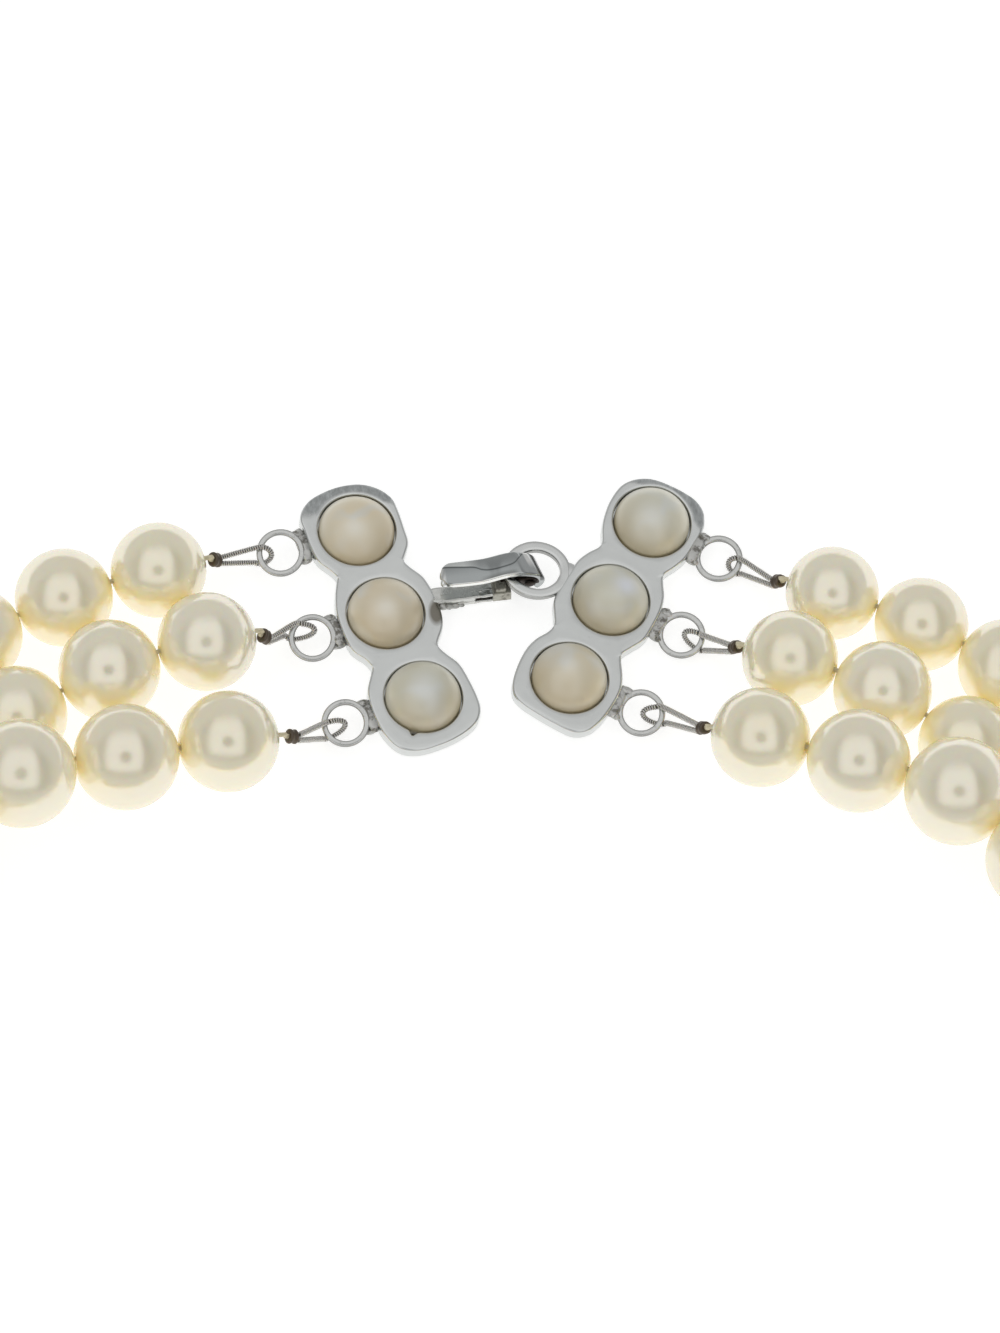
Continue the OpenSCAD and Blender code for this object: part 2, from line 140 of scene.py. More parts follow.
def strand(k, laid):
    """Centres and radii of the hidden pearls of strand k."""
    pl, pr = three(0, k)[2], three(1, k)[2]
    al = math.degrees(math.atan2(pl[1] - SHOULDER_L[1], pl[0] - SHOULDER_L[0]))
    ar = math.degrees(math.atan2(pr[1] - SHOULDER_RT[1], pr[0] - SHOULDER_RT[0]))
    arcs = [(SHOULDER_L, SHOULDER_R - k * PITCH, al, 180), (SIDE_L, SIDE_R - k * PITCH, 180, A0),
            (FRONT_C, FRONT_R - k * PITCH, A0, A1), (SIDE_RT, SIDE_R - k * PITCH, A1, 360),
            (SHOULDER_RT, SHOULDER_R - k * PITCH, 360, 360 + ar)]
    lens = [a[1] * math.radians(a[3] - a[2]) for a in arcs]
    total = sum(lens)
    ol = np.linalg.norm(pl[:2] - SHOULDER_L) - (SHOULDER_R - k * PITCH)
    orr = np.linalg.norm(pr[:2] - SHOULDER_RT) - (SHOULDER_R - k * PITCH)
    lc = np.array([p for p, _ in laid]).reshape(-1, 3)
    lr = np.array([r for _, r in laid])

    def fade(s):
        return (1 + dcos(180 * s / 48)) / 2 if s < 48 else 0.0

    def pos(s, r):
        off = ol * fade(s) + orr * fade(total - s)
        i = 0
        while s > lens[i] and i < 4:
            s -= lens[i]
            i += 1
        t = math.radians(arcs[i][2]) + s / arcs[i][1]
        xy = arcs[i][0] + (arcs[i][1] + off) * np.array([math.cos(t), math.sin(t)])
        z = r
        if len(lr):
            d2 = ((lc[:, :2] - xy) ** 2).sum(1)
            c = r + lr + 0.06
            m = d2 < c * c
            if m.any():
                z = max(z, (lc[m, 2] + np.sqrt((c * c - d2)[m])).max())
        return np.array([xy[0], xy[1], z])

    n = HIDDEN_N[k]
    bl, br = FIRST_R[0][k][2], FIRST_R[1][k][2]
    ends = [bl + (br - bl) * i / (n + 1) for i in range(1, n + 1)]
    grow = [(lambda t: t * (2 - t))(min(1, min(i, n + 1 - i) / 5)) for i in range(1, n + 1)]
    rf = 5.6
    for it in range(17):
        out, s, p, rp = [], 0.0, pl, bl
        for w, b in zip(grow, ends):
            r = b + (rf - b) * w
            d = rp + r + GAP
            s1 = s + d
            for _ in range(30):
                s1 += 0.6 * (d - np.linalg.norm(pos(s1, r) - p))
            p, s, rp = pos(s1, r), s1, r
            out.append((p, r))
        left = np.linalg.norm(pr - out[-1][0]) - out[-1][1] - br - GAP
        if it < 16:
            rf += 0.6 * left / (2 * sum(grow))
    return out


ENDS = [[(p, FIRST_R[g][k][i]) for g in (0, 1) for i, p in enumerate(three(g, k))] for k in range(3)]
OUTER = strand(0, [])
MIDDLE = strand(1, OUTER + ENDS[0])
INNER = strand(2, MIDDLE + ENDS[1])
HIDDEN = [OUTER, MIDDLE, INNER]


def thread_pts(g, k):
    p = three(g, k) + [HIDDEN[k][0][0] if g == 0 else HIDDEN[k][-1][0]]
    c = np.array(CRIMPS[g][k])
    r = FIRST_R[g][k]
    a0, a1, a2, a3 = unit(p[1] - c), unit(p[2] - p[0]), unit(p[3] - p[1]), unit(p[3] - p[2])
    return [c, p[0] - r[0] * a0, (p[0] + r[0] * a0 + p[1] - r[1] * a1) / 2,
            (p[1] + r[1] * a1 + p[2] - r[2] * a2) / 2, p[2] + r[2] * a2]


# ------------------------------------------------------------------ mesh helpers
def make(name, verts, faces, mat, body="choker", replaces=(), slot=None, smooth=True, tint=None, flat=(), crease=None):
    """verts in millimetres in the layout frame."""
    me = bpy.data.meshes.new(name)
    v = (np.asarray(verts, float) + SHIFT) * MM
    me.from_pydata(v.tolist(), [], [list(f) for f in faces])
    me.validate()
    me.update()
    if smooth:
        me.polygons.foreach_set("use_smooth", [True] * len(me.polygons))
    for i in flat:
        me.polygons[i].use_smooth = False
    if crease:
        me.set_sharp_from_angle(angle=math.radians(crease))
    if tint is not None:
        at = me.attributes.new("tint", "FLOAT_COLOR", "POINT")
        at.data.foreach_set("color", np.asarray(tint, np.float32).ravel())
    ob = bpy.data.objects.new(name, me)
    scene.collection.objects.link(ob)
    me.materials.append(mat)
    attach(ob, body)
    if replaces:
        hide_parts(*replaces)
    return ob


class Builder:
    """Collects parts of one joined mesh."""

    def __init__(self):
        self.v, self.f, self.t, self.n = [], [], [], 0

    def add(self, verts, faces, tint=None):
        verts = np.asarray(verts, float)
        self.v.append(verts)
        self.f += [[i + self.n for i in f] for f in faces]
        tint = np.array((0.5, 0.5, 0.5, 1) if tint is None else tint, float)
        self.t.append(tint if tint.ndim == 2 else np.tile(tint, (len(verts), 1)))
        self.n += len(verts)

    def make(self, name, mat, **kw):
        return make(name, np.concatenate(self.v), self.f, mat, tint=np.concatenate(self.t), **kw)


def grid_faces(rows, cols, wrap=True):
    """Quads of a grid of rows times cols points, closed round the columns."""
    f = []
    last = cols if wrap else cols - 1
    for i in range(rows - 1):
        for j in range(last):
            a, b = i * cols + j, i * cols + (j + 1) % cols
            f.append((a, b, b + cols, a + cols))
    return f


def frame_of(axis):
    a = unit(axis)
    ref = np.array([0, 0, 1.0]) if abs(a[2]) < 0.9 else np.array([1.0, 0, 0])
    e = unit(np.cross(ref, a))
    return e, np.cross(a, e), a


def lathe(centre, axis, profile, segs, wobble=None):
    """Turns (radius, height) points about axis through centre."""
    e1, e2, a = frame_of(axis)
    ang = np.linspace(0, 2 * math.pi, segs, endpoint=False)
    ring = np.cos(ang)[:, None] * e1 + np.sin(ang)[:, None] * e2
    v = []
    for rad, h in profile:
        rr = np.full(segs, rad)
        if wobble is not None:
            rr = rr * wobble(ang, h)
        v.append(centre + rr[:, None] * ring + h * a)
    v = np.concatenate(v)
    f = grid_faces(len(profile), segs)
    n = len(profile)
    f.append(tuple(range(segs))[::-1])
    f.append(tuple((n - 1) * segs + i for i in range(segs)))
    return v, f


def smooth_path(pts, n):
    """Catmull-Rom curve through points, n samples at equal steps of length."""
    p = np.asarray(pts, float)
    p = np.vstack([2 * p[0] - p[1], p, 2 * p[-1] - p[-2]])
    out = []
    for i in range(1, len(p) - 2):
        for t in np.linspace(0, 1, 24, endpoint=False):
            a, b, c, d = p[i - 1], p[i], p[i + 1], p[i + 2]
            out.append(0.5 * (2 * b + (c - a) * t + (2 * a - 5 * b + 4 * c - d) * t * t + (3 * b - a - 3 * c + d) * t ** 3))
    out.append(p[-2])
    out = np.array(out)
    s = np.concatenate([[0], np.cumsum(np.linalg.norm(np.diff(out, axis=0), axis=1))])
    q = np.linspace(0, s[-1], n)
    return np.stack([np.interp(q, s, out[:, i]) for i in range(3)], 1), s[-1]


def frames(path):
    """Tangent and two normals along a path, without twist."""
    t = np.gradient(path, axis=0)
    t /= np.linalg.norm(t, axis=1)[:, None]
    e, _, _ = frame_of(t[0])
    es = []
    for i in range(len(path)):
        e = e - t[i] * e.dot(t[i])
        e = e / np.linalg.norm(e)
        es.append(e)
    es = np.array(es)
    return t, es, np.cross(t, es)


def tube(path, radius, sides, closed_ends=True, radii=None, shape=None):
    t, e, f = frames(path)
    ang = np.linspace(0, 2 * math.pi, sides, endpoint=False)
    v = []
    for i in range(len(path)):
        r = radius if radii is None else radii[i]
        rr = np.full(sides, r) if shape is None else shape(i, ang) * r
        v.append(path[i] + (rr * np.cos(ang))[:, None] * e[i] + (rr * np.sin(ang))[:, None] * f[i])
    v = np.concatenate(v)
    faces = grid_faces(len(path), sides)
    if closed_ends:
        faces.append(tuple(range(sides))[::-1])
        faces.append(tuple((len(path) - 1) * sides + i for i in range(sides)))
    return v, faces


def noise1(seed, n, scale=1.0):
    """A few random sine terms, for gentle unevenness."""
    r = random.Random(seed)
    terms = [(r.uniform(0.6, 1.4) * (i + 1) * scale, r.uniform(0, 6.28), r.uniform(0.4, 1) / (i + 1)) for i in range(n)]
    return lambda x: sum(a * np.sin(f * x + p) for f, p, a in terms)


# ------------------------------------------------------------------ materials
def new_mat(name):
    m = bpy.data.materials.new(name)
    m.use_nodes = True
    nt = m.node_tree
    return m, nt, nt.nodes["Principled BSDF"]


def node(nt, kind, **kw):
    n = nt.nodes.new(kind)
    for k, v in kw.items():
        if k.startswith("in_"):
            key = k[3:].replace("_", " ")
            n.inputs[int(key) if key.isdigit() else key].default_value = v
        else:
            setattr(n, k, v)
    return n


def ramp(nt, stops):
    n = nt.nodes.new("ShaderNodeValToRGB")
    cr = n.color_ramp
    while len(cr.elements) > len(stops):
        cr.elements.remove(cr.elements[-1])
    while len(cr.elements) < len(stops):
        cr.elements.new(0.5)
    for e, (p, c) in zip(cr.elements, stops):
        e.position = p
        e.color = c if len(c) == 4 else (*c, 1)
    return n


def mix_rgb(nt, a, b, fac, mode="MIX"):
    n = nt.nodes.new("ShaderNodeMix")
    n.data_type = "RGBA"
    n.blend_type = mode
    for sock, val in ((n.inputs[0], fac), (n.inputs[6], a), (n.inputs[7], b)):
        if hasattr(val, "links"):
            nt.links.new(val, sock)
        elif isinstance(val, (int, float)):
            sock.default_value = val
        else:
            sock.default_value = val if len(val) == 4 else (*val, 1)
    return n.outputs[2]


def noise_tex(nt, scale, detail=3.0, rough=0.5, vec=None, distortion=0.0):
    n = node(nt, "ShaderNodeTexNoise")
    n.inputs["Scale"].default_value = scale
    n.inputs["Detail"].default_value = detail
    n.inputs["Roughness"].default_value = rough
    n.inputs["Distortion"].default_value = distortion
    if vec is not None:
        nt.links.new(vec, n.inputs["Vector"])
    return n.outputs["Fac"]


def bump(nt, bsdf, height, strength, dist):
    b = node(nt, "ShaderNodeBump")
    b.inputs["Strength"].default_value = strength
    b.inputs["Distance"].default_value = dist
    nt.links.new(height, b.inputs["Height"])
    nt.links.new(b.outputs[0], bsdf.inputs["Normal"])
    return b


def coords(nt):
    return node(nt, "ShaderNodeTexCoord").outputs["Object"]


def map_range(nt, val, a, b, c, d):
    m = node(nt, "ShaderNodeMapRange")
    m.inputs[1].default_value, m.inputs[2].default_value = a, b
    m.inputs[3].default_value, m.inputs[4].default_value = c, d
    nt.links.new(val, m.inputs[0])
    return m.outputs[0]


def pearl_material(name, base, rough, ior, half=False):
    m, nt, bsdf = new_mat(name)
    co = coords(nt)
    at = node(nt, "ShaderNodeAttribute")
    at.attribute_name = "tint"
    sep = node(nt, "ShaderNodeSeparateColor")
    nt.links.new(at.outputs["Color"], sep.inputs[0])
    # each pearl has its own tone, a little rosier or greener, and clouds of tone across it
    tone = ramp(nt, base)
    nt.links.new(sep.outputs[0], tone.inputs[0])
    add = node(nt, "ShaderNodeVectorMath", operation="ADD")
    sc = node(nt, "ShaderNodeVectorMath", operation="SCALE")
    nt.links.new(at.outputs["Color"], sc.inputs[0])
    sc.inputs["Scale"].default_value = 0.0 if half else 3.0
    nt.links.new(co, add.inputs[0])
    nt.links.new(sc.outputs[0], add.inputs[1])
    cloud = noise_tex(nt, 170 if not half else 230, 2.0, 0.5, add.outputs[0], 0.4)
    cloud_col = ramp(nt, [(0.3, (0.97, 0.985, 1.0)), (0.5, (1, 1, 1)), (0.7, (1.0, 0.965, 0.90))])
    nt.links.new(cloud, cloud_col.inputs[0])
    col = mix_rgb(nt, tone.outputs[0], cloud_col.outputs[0], 0.8, "MULTIPLY")
    if half:
        blue = noise_tex(nt, 300, 1.0, 0.5, add.outputs[0], 0.6)
        blue_f = map_range(nt, blue, 0.52, 0.72, 0.0, 0.5)
        col = mix_rgb(nt, col, (0.66, 0.71, 0.72), blue_f)
        parts = node(nt, "ShaderNodeSeparateColor")
        nt.links.new(at.outputs["Color"], parts.inputs[0])
        # painted shade: darker and browner toward the rim on the lower side, and round the foot
        col = mix_rgb(nt, col, (0.50, 0.385, 0.19), map_range(nt, parts.outputs[1], 0.0, 0.5, 0.0, 0.85))
        # painted highlight on the upper rim
        col = mix_rgb(nt, col, (0.92, 0.90, 0.80), map_range(nt, parts.outputs[2], 0.0, 1.0, 0.0, 0.55))
        # painted highlight: a pale patch, bluish on the whiter domes
        highlight_patch_col = ramp(nt, [(0.6, (0.92, 0.92, 0.84)), (0.9, (0.82, 0.86, 0.88)), (0.95, (0.84, 0.89, 1.0))])
        nt.links.new(parts.outputs[0], highlight_patch_col.inputs[0])
        col = mix_rgb(nt, col, highlight_patch_col.outputs[0], map_range(nt, at.outputs["Alpha"], 0.0, 1.0, 0.0, 0.8))
        # shadow of the seat round the foot
        col = mix_rgb(nt, col, (0.10, 0.055, 0.02), map_range(nt, parts.outputs[1], 0.6, 0.95, 0.0, 0.9))
    if not half:
        # painted golden glow near the other pearls, in the base colour and as a faint emission, standing in for light
        # passed from one pearl to the next
        near = at.outputs["Alpha"]
        col = mix_rgb(nt, col, (0.97, 0.80, 0.36), map_range(nt, near, 0.3, 1.0, 0.0, 0.5))
        bsdf.inputs["Emission Color"].default_value = (1.0, 0.87, 0.47, 1)
        nt.links.new(map_range(nt, near, 0.0, 1.0, 0.0, 0.085), bsdf.inputs["Emission Strength"])
        bsdf.inputs["Coat Weight"].default_value = 0.7
        bsdf.inputs["Coat Roughness"].default_value = 0.12
    nt.links.new(col, bsdf.inputs["Base Color"])
    bsdf.inputs["IOR"].default_value = ior
    bsdf.inputs["Specular Tint"].default_value = (1.0, 0.97, 0.925, 1)
    # growth lines: faint soft unevenness in gloss
    gl = noise_tex(nt, 420, 3.0, 0.6, add.outputs[0])
    nt.links.new(map_range(nt, gl, 0.3, 0.7, rough * 0.85, rough * 1.2), bsdf.inputs["Roughness"])
    m.cycles.emission_sampling = "NONE"
    b = noise_tex(nt, 260, 2.0, 0.45, add.outputs[0], 0.3)
    bump(nt, bsdf, b, 0.13 if not half else 0.30, 0.0004)
    if not half:
        # light that travels inside the pearl comes out golden where two touch
        bsdf.inputs["Subsurface Weight"].default_value = 0.7
        bsdf.inputs["Subsurface Radius"].default_value = (1.0, 0.70, 0.22)
        bsdf.inputs["Subsurface Scale"].default_value = 0.0055
    return m


def silver_material(name, colour, rough, grain=0.0, wear=0.25, dark=None, brushed=None, brown_patch=None, leaf=False, edge=None,
                    pit=(2600, 0.64, 0.74)):
    m, nt, bsdf = new_mat(name)
    co = coords(nt)
    big = noise_tex(nt, 120, 3.0, 0.5, co)
    c = ramp(nt, [(0.25, tuple(x * 0.93 for x in colour)), (0.75, colour)])
    nt.links.new(big, c.inputs[0])
    col = c.outputs[0]
    pits = noise_tex(nt, pit[0], 3.0, 0.7, co)
    pitf = map_range(nt, pits, pit[1], pit[2], 0.0, wear)
    col = mix_rgb(nt, col, dark or tuple(x * 0.45 for x in colour), pitf)
    fine = noise_tex(nt, 1500, 4.0, 0.6, co)
    rgh = map_range(nt, fine, 0.3, 0.7, rough * 0.8, rough * 1.3)
    mixh = noise_tex(nt, 900 if grain else 260, 5.0 if grain else 2.0, 0.65, co)
    bp = bump(nt, bsdf, mixh, 0.5 if grain else 0.10, 0.0002 if grain else 0.0003)
    if brushed:
        # file marks across the sloping ends, where the attribute is high
        at = node(nt, "ShaderNodeAttribute")
        at.attribute_name = "tint"
        sep = node(nt, "ShaderNodeSeparateColor")
        nt.links.new(at.outputs["Color"], sep.inputs[0])
        mp = node(nt, "ShaderNodeMapping")
        nt.links.new(co, mp.inputs[0])
        mp.inputs["Scale"].default_value = (1.0, 0.35, 1.0)
        mp.inputs["Rotation"].default_value = (0, 0, 0.5)
        marks = noise_tex(nt, 2200, 4.0, 0.75, mp.outputs[0])
        mark_col = ramp(nt, [(0.36, tuple(x * 0.8 for x in brushed)), (0.5, brushed), (0.66, tuple(min(1, x * 1.25) for x in brushed))])
        nt.links.new(marks, mark_col.inputs[0])
        col = mix_rgb(nt, col, mark_col.outputs[0], sep.outputs[1])
        m2 = node(nt, "ShaderNodeMath", operation="MULTIPLY_ADD")
        nt.links.new(sep.outputs[1], m2.inputs[0])
        m2.inputs[1].default_value = 0.28
        nt.links.new(rgh, m2.inputs[2])
        rgh = m2.outputs[0]
    if edge:
        # painted shade on the sides of the wire, where the attribute is high
        at = node(nt, "ShaderNodeAttribute")
        at.attribute_name = "tint"
        sep = node(nt, "ShaderNodeSeparateColor")
        nt.links.new(at.outputs["Color"], sep.inputs[0])
        col = mix_rgb(nt, col, edge, sep.outputs[1])
    if brown_patch:
        # a dark brown-grey patch beside the solder of the clasp, darkest at its middle
        mp = node(nt, "ShaderNodeMapping")
        nt.links.new(co, mp.inputs[0])
        c = (np.array(brown_patch) + SHIFT) * MM
        mp.inputs["Location"].default_value = (-c * np.array([1.0, 0.55, 0.5]) / 0.00085).tolist()
        mp.inputs["Scale"].default_value = (1.0 / 0.00085, 0.55 / 0.00085, 0.5 / 0.00085)
        ln = node(nt, "ShaderNodeVectorMath", operation="LENGTH")
        nt.links.new(mp.outputs[0], ln.inputs[0])
        col = mix_rgb(nt, col, (0.19, 0.175, 0.145), map_range(nt, ln.outputs["Value"], 0.7, 1.15, 0.95, 0.0))
    if leaf:
        col = leaf_colour(nt, co, col)
    nt.links.new(col, bsdf.inputs["Base Color"])
    bsdf.inputs["Metallic"].default_value = 1.0
    nt.links.new(rgh, bsdf.inputs["Roughness"])
    return m


# Wavy line of painted dark reflection on the leaf, in the hinge's frame. Columns: along, across
DARK_REFLECTION_LINE = [(-9.4, 0.8), (-8.2, 0.72), (-6.6, 0.55), (-5.6, 0.42), (-4.8, 0.05), (-3.8, -0.2), (-2.5, -0.22), (-1.6, -0.05),
             (-0.95, 0.5), (-0.45, 1.1), (0.2, 1.5)]


def leaf_colour(nt, co, col):
    """Painted reflections on the folded leaf: light and dark bands, a dark reflection line, painted highlights on its
    edges and painted shade before its front edge.
    """
    mp = node(nt, "ShaderNodeMapping")
    nt.links.new(co, mp.inputs[0])
    turn = np.array([[dcos(TURN), dsin(TURN), 0], [-dsin(TURN), dcos(TURN), 0], [0, 0, 1]])
    mp.inputs["Scale"].default_value = (1000, 1000, 1000)
    mp.inputs["Rotation"].default_value = (0, 0, -math.radians(TURN))
    mp.inputs["Location"].default_value = (-turn @ (np.array(HINGE) + SHIFT)).tolist()
    xyz = node(nt, "ShaderNodeSeparateXYZ")
    nt.links.new(mp.outputs[0], xyz.inputs[0])
    x, y = xyz.outputs[0], xyz.outputs[1]
    x01 = map_range(nt, x, -9.5, 0.5, 0.0, 1.0)
    fc = node(nt, "ShaderNodeFloatCurve")
    cv = fc.mapping.curves[0]
    pts = [((a + 9.5) / 10, (b + 1.5) / 3) for a, b in DARK_REFLECTION_LINE]
    cv.points[0].location = pts[0]
    cv.points[1].location = pts[-1]
    for q in pts[1:-1]:
        cv.points.new(*q)
    fc.mapping.update()
    nt.links.new(x01, fc.inputs["Value"])
    y01 = map_range(nt, y, -1.5, 1.5, 0.0, 1.0)

    def mth(op, a, b):
        n = node(nt, "ShaderNodeMath", operation=op)
        for i, q in enumerate((a, b)):
            if isinstance(q, (int, float)):
                n.inputs[i].default_value = q
            elif q is not None:
                nt.links.new(q, n.inputs[i])
        return n.outputs[0]

    d = mth("SUBTRACT", y01, fc.outputs[0])
    behind = map_range(nt, d, 0.0, 0.02, 0.0, 1.0)
    left = map_range(nt, x, -6.6, -5.0, 1.0, 0.0)
    right = map_range(nt, x, -1.4, -0.6, 0.0, 1.0)
    # painted reflection: a lighter band behind the line on the left, and lighter toward the right end
    col = mix_rgb(nt, col, (0.66, 0.68, 0.67), mth("MULTIPLY", behind, left))
    col = mix_rgb(nt, col, (0.47, 0.49, 0.49), mth("MULTIPLY", right, 0.8))
    # painted shade before the front edge and a painted highlight on the edge itself
    front = mth("MULTIPLY", map_range(nt, y, -1.1, -0.65, 1.0, 0.0), map_range(nt, x, -5.2, -4.0, 0.0, 1.0))
    front = mth("MULTIPLY", front, map_range(nt, x, -1.6, -0.9, 1.0, 0.0))
    col = mix_rgb(nt, col, (0.15, 0.155, 0.15), mth("MULTIPLY", front, 0.75))
    rim = mth("MULTIPLY", map_range(nt, y, -1.24, -1.14, 1.0, 0.0), map_range(nt, x, -1.7, -1.0, 1.0, 0.0))
    col = mix_rgb(nt, col, (0.97, 0.97, 0.94), mth("MULTIPLY", rim, 0.9))
    # painted highlight at the left end
    end = mth("MULTIPLY", map_range(nt, x, -8.95, -8.6, 1.0, 0.0), 0.8)
    col = mix_rgb(nt, col, (0.85, 0.86, 0.84), end)
    # the painted dark reflection line
    line = map_range(nt, mth("ABSOLUTE", d, None), 0.012, 0.045, 1.0, 0.0)
    col = mix_rgb(nt, col, (0.09, 0.10, 0.10), mth("MULTIPLY", line, 0.85))
    # slanting end: a painted highlight band and a painted shaded edge
    xs = mth("ADD", mth("ADD", x, 0.73), mth("MULTIPLY", y, 0.33))
    band = mth("MULTIPLY", map_range(nt, xs, 0.62, 0.8, 0.0, 1.0), map_range(nt, xs, 1.15, 1.3, 1.0, 0.0))
    band = mth("MULTIPLY", band, map_range(nt, y, -0.6, 0.3, 0.0, 1.0))
    col = mix_rgb(nt, col, (0.9, 0.9, 0.88), mth("MULTIPLY", band, 0.8))
    edge = mth("MULTIPLY", map_range(nt, xs, 1.3, 1.42, 0.0, 1.0), map_range(nt, xyz.outputs[2], 0.1, 0.4, 0.0, 1.0))
    return mix_rgb(nt, col, (0.12, 0.12, 0.12), mth("MULTIPLY", edge, 0.85))


CREAM = [(0.0, (0.93, 0.86, 0.65)), (0.35, (0.94, 0.845, 0.61)), (0.65, (0.94, 0.855, 0.60)), (1.0, (0.92, 0.86, 0.66))]
mat_pearl = pearl_material("pearl nacre", CREAM, 0.19, 5.0)
# from warm cream to bluish white
WARM = [(0.0, (0.80, 0.71, 0.50)), (0.4, (0.74, 0.65, 0.46)), (0.7, (0.68, 0.645, 0.47)), (1.0, (0.64, 0.645, 0.52))]
mat_half = pearl_material("half pearl nacre", WARM, 0.40, 3.0, half=True)
mat_plate = silver_material("plate silver", (0.68, 0.695, 0.685), 0.17, wear=0.15, brushed=(0.46, 0.48, 0.48), brown_patch=(-6.6, -0.05, 2.4))
# edge colours: painted shade on the sides of the ring wire
mat_catch = silver_material("catch ring silver", (0.70, 0.71, 0.70), 0.17, wear=0.15, edge=(0.38, 0.38, 0.37))
mat_rough = silver_material("grainy silver", (0.60, 0.60, 0.58), 0.40, grain=1.0, wear=0.85, dark=(0.16, 0.15, 0.13), pit=(1300, 0.5, 0.62))
mat_ring = silver_material("ring silver", (0.60, 0.605, 0.59), 0.2, wear=0.35, edge=(0.25, 0.25, 0.24), pit=(1500, 0.56, 0.68))
mat_bar = silver_material("bar silver", (0.64, 0.645, 0.62), 0.22, wear=0.04, dark=(0.25, 0.24, 0.2))
# brown-grey block under the lever: painted shade and painted reflection beneath the leaf
mat_block_shade = silver_material("block in painted shade", (0.42, 0.41, 0.355), 0.4, grain=1.0, wear=0.65, dark=(0.11, 0.10, 0.08), pit=(1500, 0.54, 0.66))
# near-black metal for the hinge, tongue, ears and pin: painted shade of the hollow under the lever
mat_hinge_shade = silver_material("dark hinge", (0.05, 0.04, 0.034), 0.45, grain=1.0, wear=0.4)
# the lever's darker silver stands in for the darker surroundings it reflects: painted reflection, with painted bands
# from leaf_colour
mat_lever = silver_material("lever silver", (0.37, 0.39, 0.39), 0.13, wear=0.12, leaf=True)
mat_wire = silver_material("coiled wire", (0.62, 0.61, 0.585), 0.25, wear=0.6, dark=(0.18, 0.15, 0.12))
# dark core inside the coiled wire: painted shade of the coil's hollow
mat_coil_shade = silver_material("dark wire core", (0.10, 0.09, 0.075), 0.5, wear=0.5)
mat_crimp = silver_material("dark crimp", (0.135, 0.112, 0.09), 0.36, grain=1.0, wear=0.8, dark=(0.02, 0.016, 0.012))


def thread_material():
    m, nt, bsdf = new_mat("silk thread")
    co = coords(nt)
    n = noise_tex(nt, 3000, 3.0, 0.6, co)
    c = ramp(nt, [(0.3, (0.64, 0.57, 0.38)), (0.7, (0.82, 0.76, 0.57))])
    nt.links.new(n, c.inputs[0])
    nt.links.new(c.outputs[0], bsdf.inputs["Base Color"])
    bsdf.inputs["Roughness"].default_value = 0.7
    bump(nt, bsdf, noise_tex(nt, 6000, 2.0, 0.6, co), 0.4, 0.0001)
    return m


mat_thread = thread_material()


# ------------------------------------------------------------------ pearls
HOLE = 0.55


def pearl_profile(r, rings):
    """(radius, height) from one drill hole to the other."""
    th0 = math.asin(HOLE * 1.35 / r)
    th = th0 + (math.pi - 2 * th0) * (np.arange(rings + 1) / rings)
    top = r * math.cos(th0)
    pts = [(HOLE * 0.8, top - 0.9), (HOLE, top - 0.3), (HOLE * 1.06, top - 0.08), (HOLE * 1.18, top - 0.015)]
    pts += [(r * math.sin(t), r * math.cos(t)) for t in th]
    pts += [(HOLE * 1.18, -top + 0.015), (HOLE * 1.06, -top + 0.08), (HOLE, -top + 0.3), (HOLE * 0.8, -top + 0.9)]
    return pts[::-1]


def pearl_tint():
    return (rng.random(), rng.random(), rng.random(), 1.0)


ALL_C = np.array([p for k in range(3) for p, _ in ENDS[k] + list(HIDDEN[k])])
ALL_R = np.array([r for k in range(3) for _, r in ENDS[k] + list(HIDDEN[k])])


def add_pearl(b, c, r, axis, segs, rings):
    prof = pearl_profile(r, rings)
    egg = rng.uniform(-0.006, 0.006)
    ph = rng.uniform(0, 6.28)
    v, f = lathe(np.array(c), axis, prof, segs, wobble=lambda a, h: 1 - abs(egg) * (1 + np.cos(2 * a + ph)))
    # nearness of the other pearls, which drives the painted golden glow
    far = np.linalg.norm(ALL_C - np.array(c), axis=1)
    near = np.zeros(len(v))
    for j in np.nonzero((far > 1.0) & (far < 17.0))[0]:
        near += np.exp(-np.maximum(np.linalg.norm(v - ALL_C[j], axis=1) - ALL_R[j], 0) / 1.9)
    tint = np.tile(pearl_tint(), (len(v), 1))
    tint[:, 3] = np.minimum(near, 1.0)
    b.add(v, f, tint)


for g, side in ((0, "left"), (1, "right")):
    for k in range(3):
        t = thread_pts(g, k)
        for i, p in enumerate(three(g, k)):
            b = Builder()
            add_pearl(b, p, FIRST_R[g][k][i], t[i + 2] - t[i + 1], 96, 60)
            n = "pearl_%s_%d_%d" % (side, k + 1, i + 1)
            b.make(n + "_nacre", mat_pearl, replaces=[n], slot="pearl_nacre")

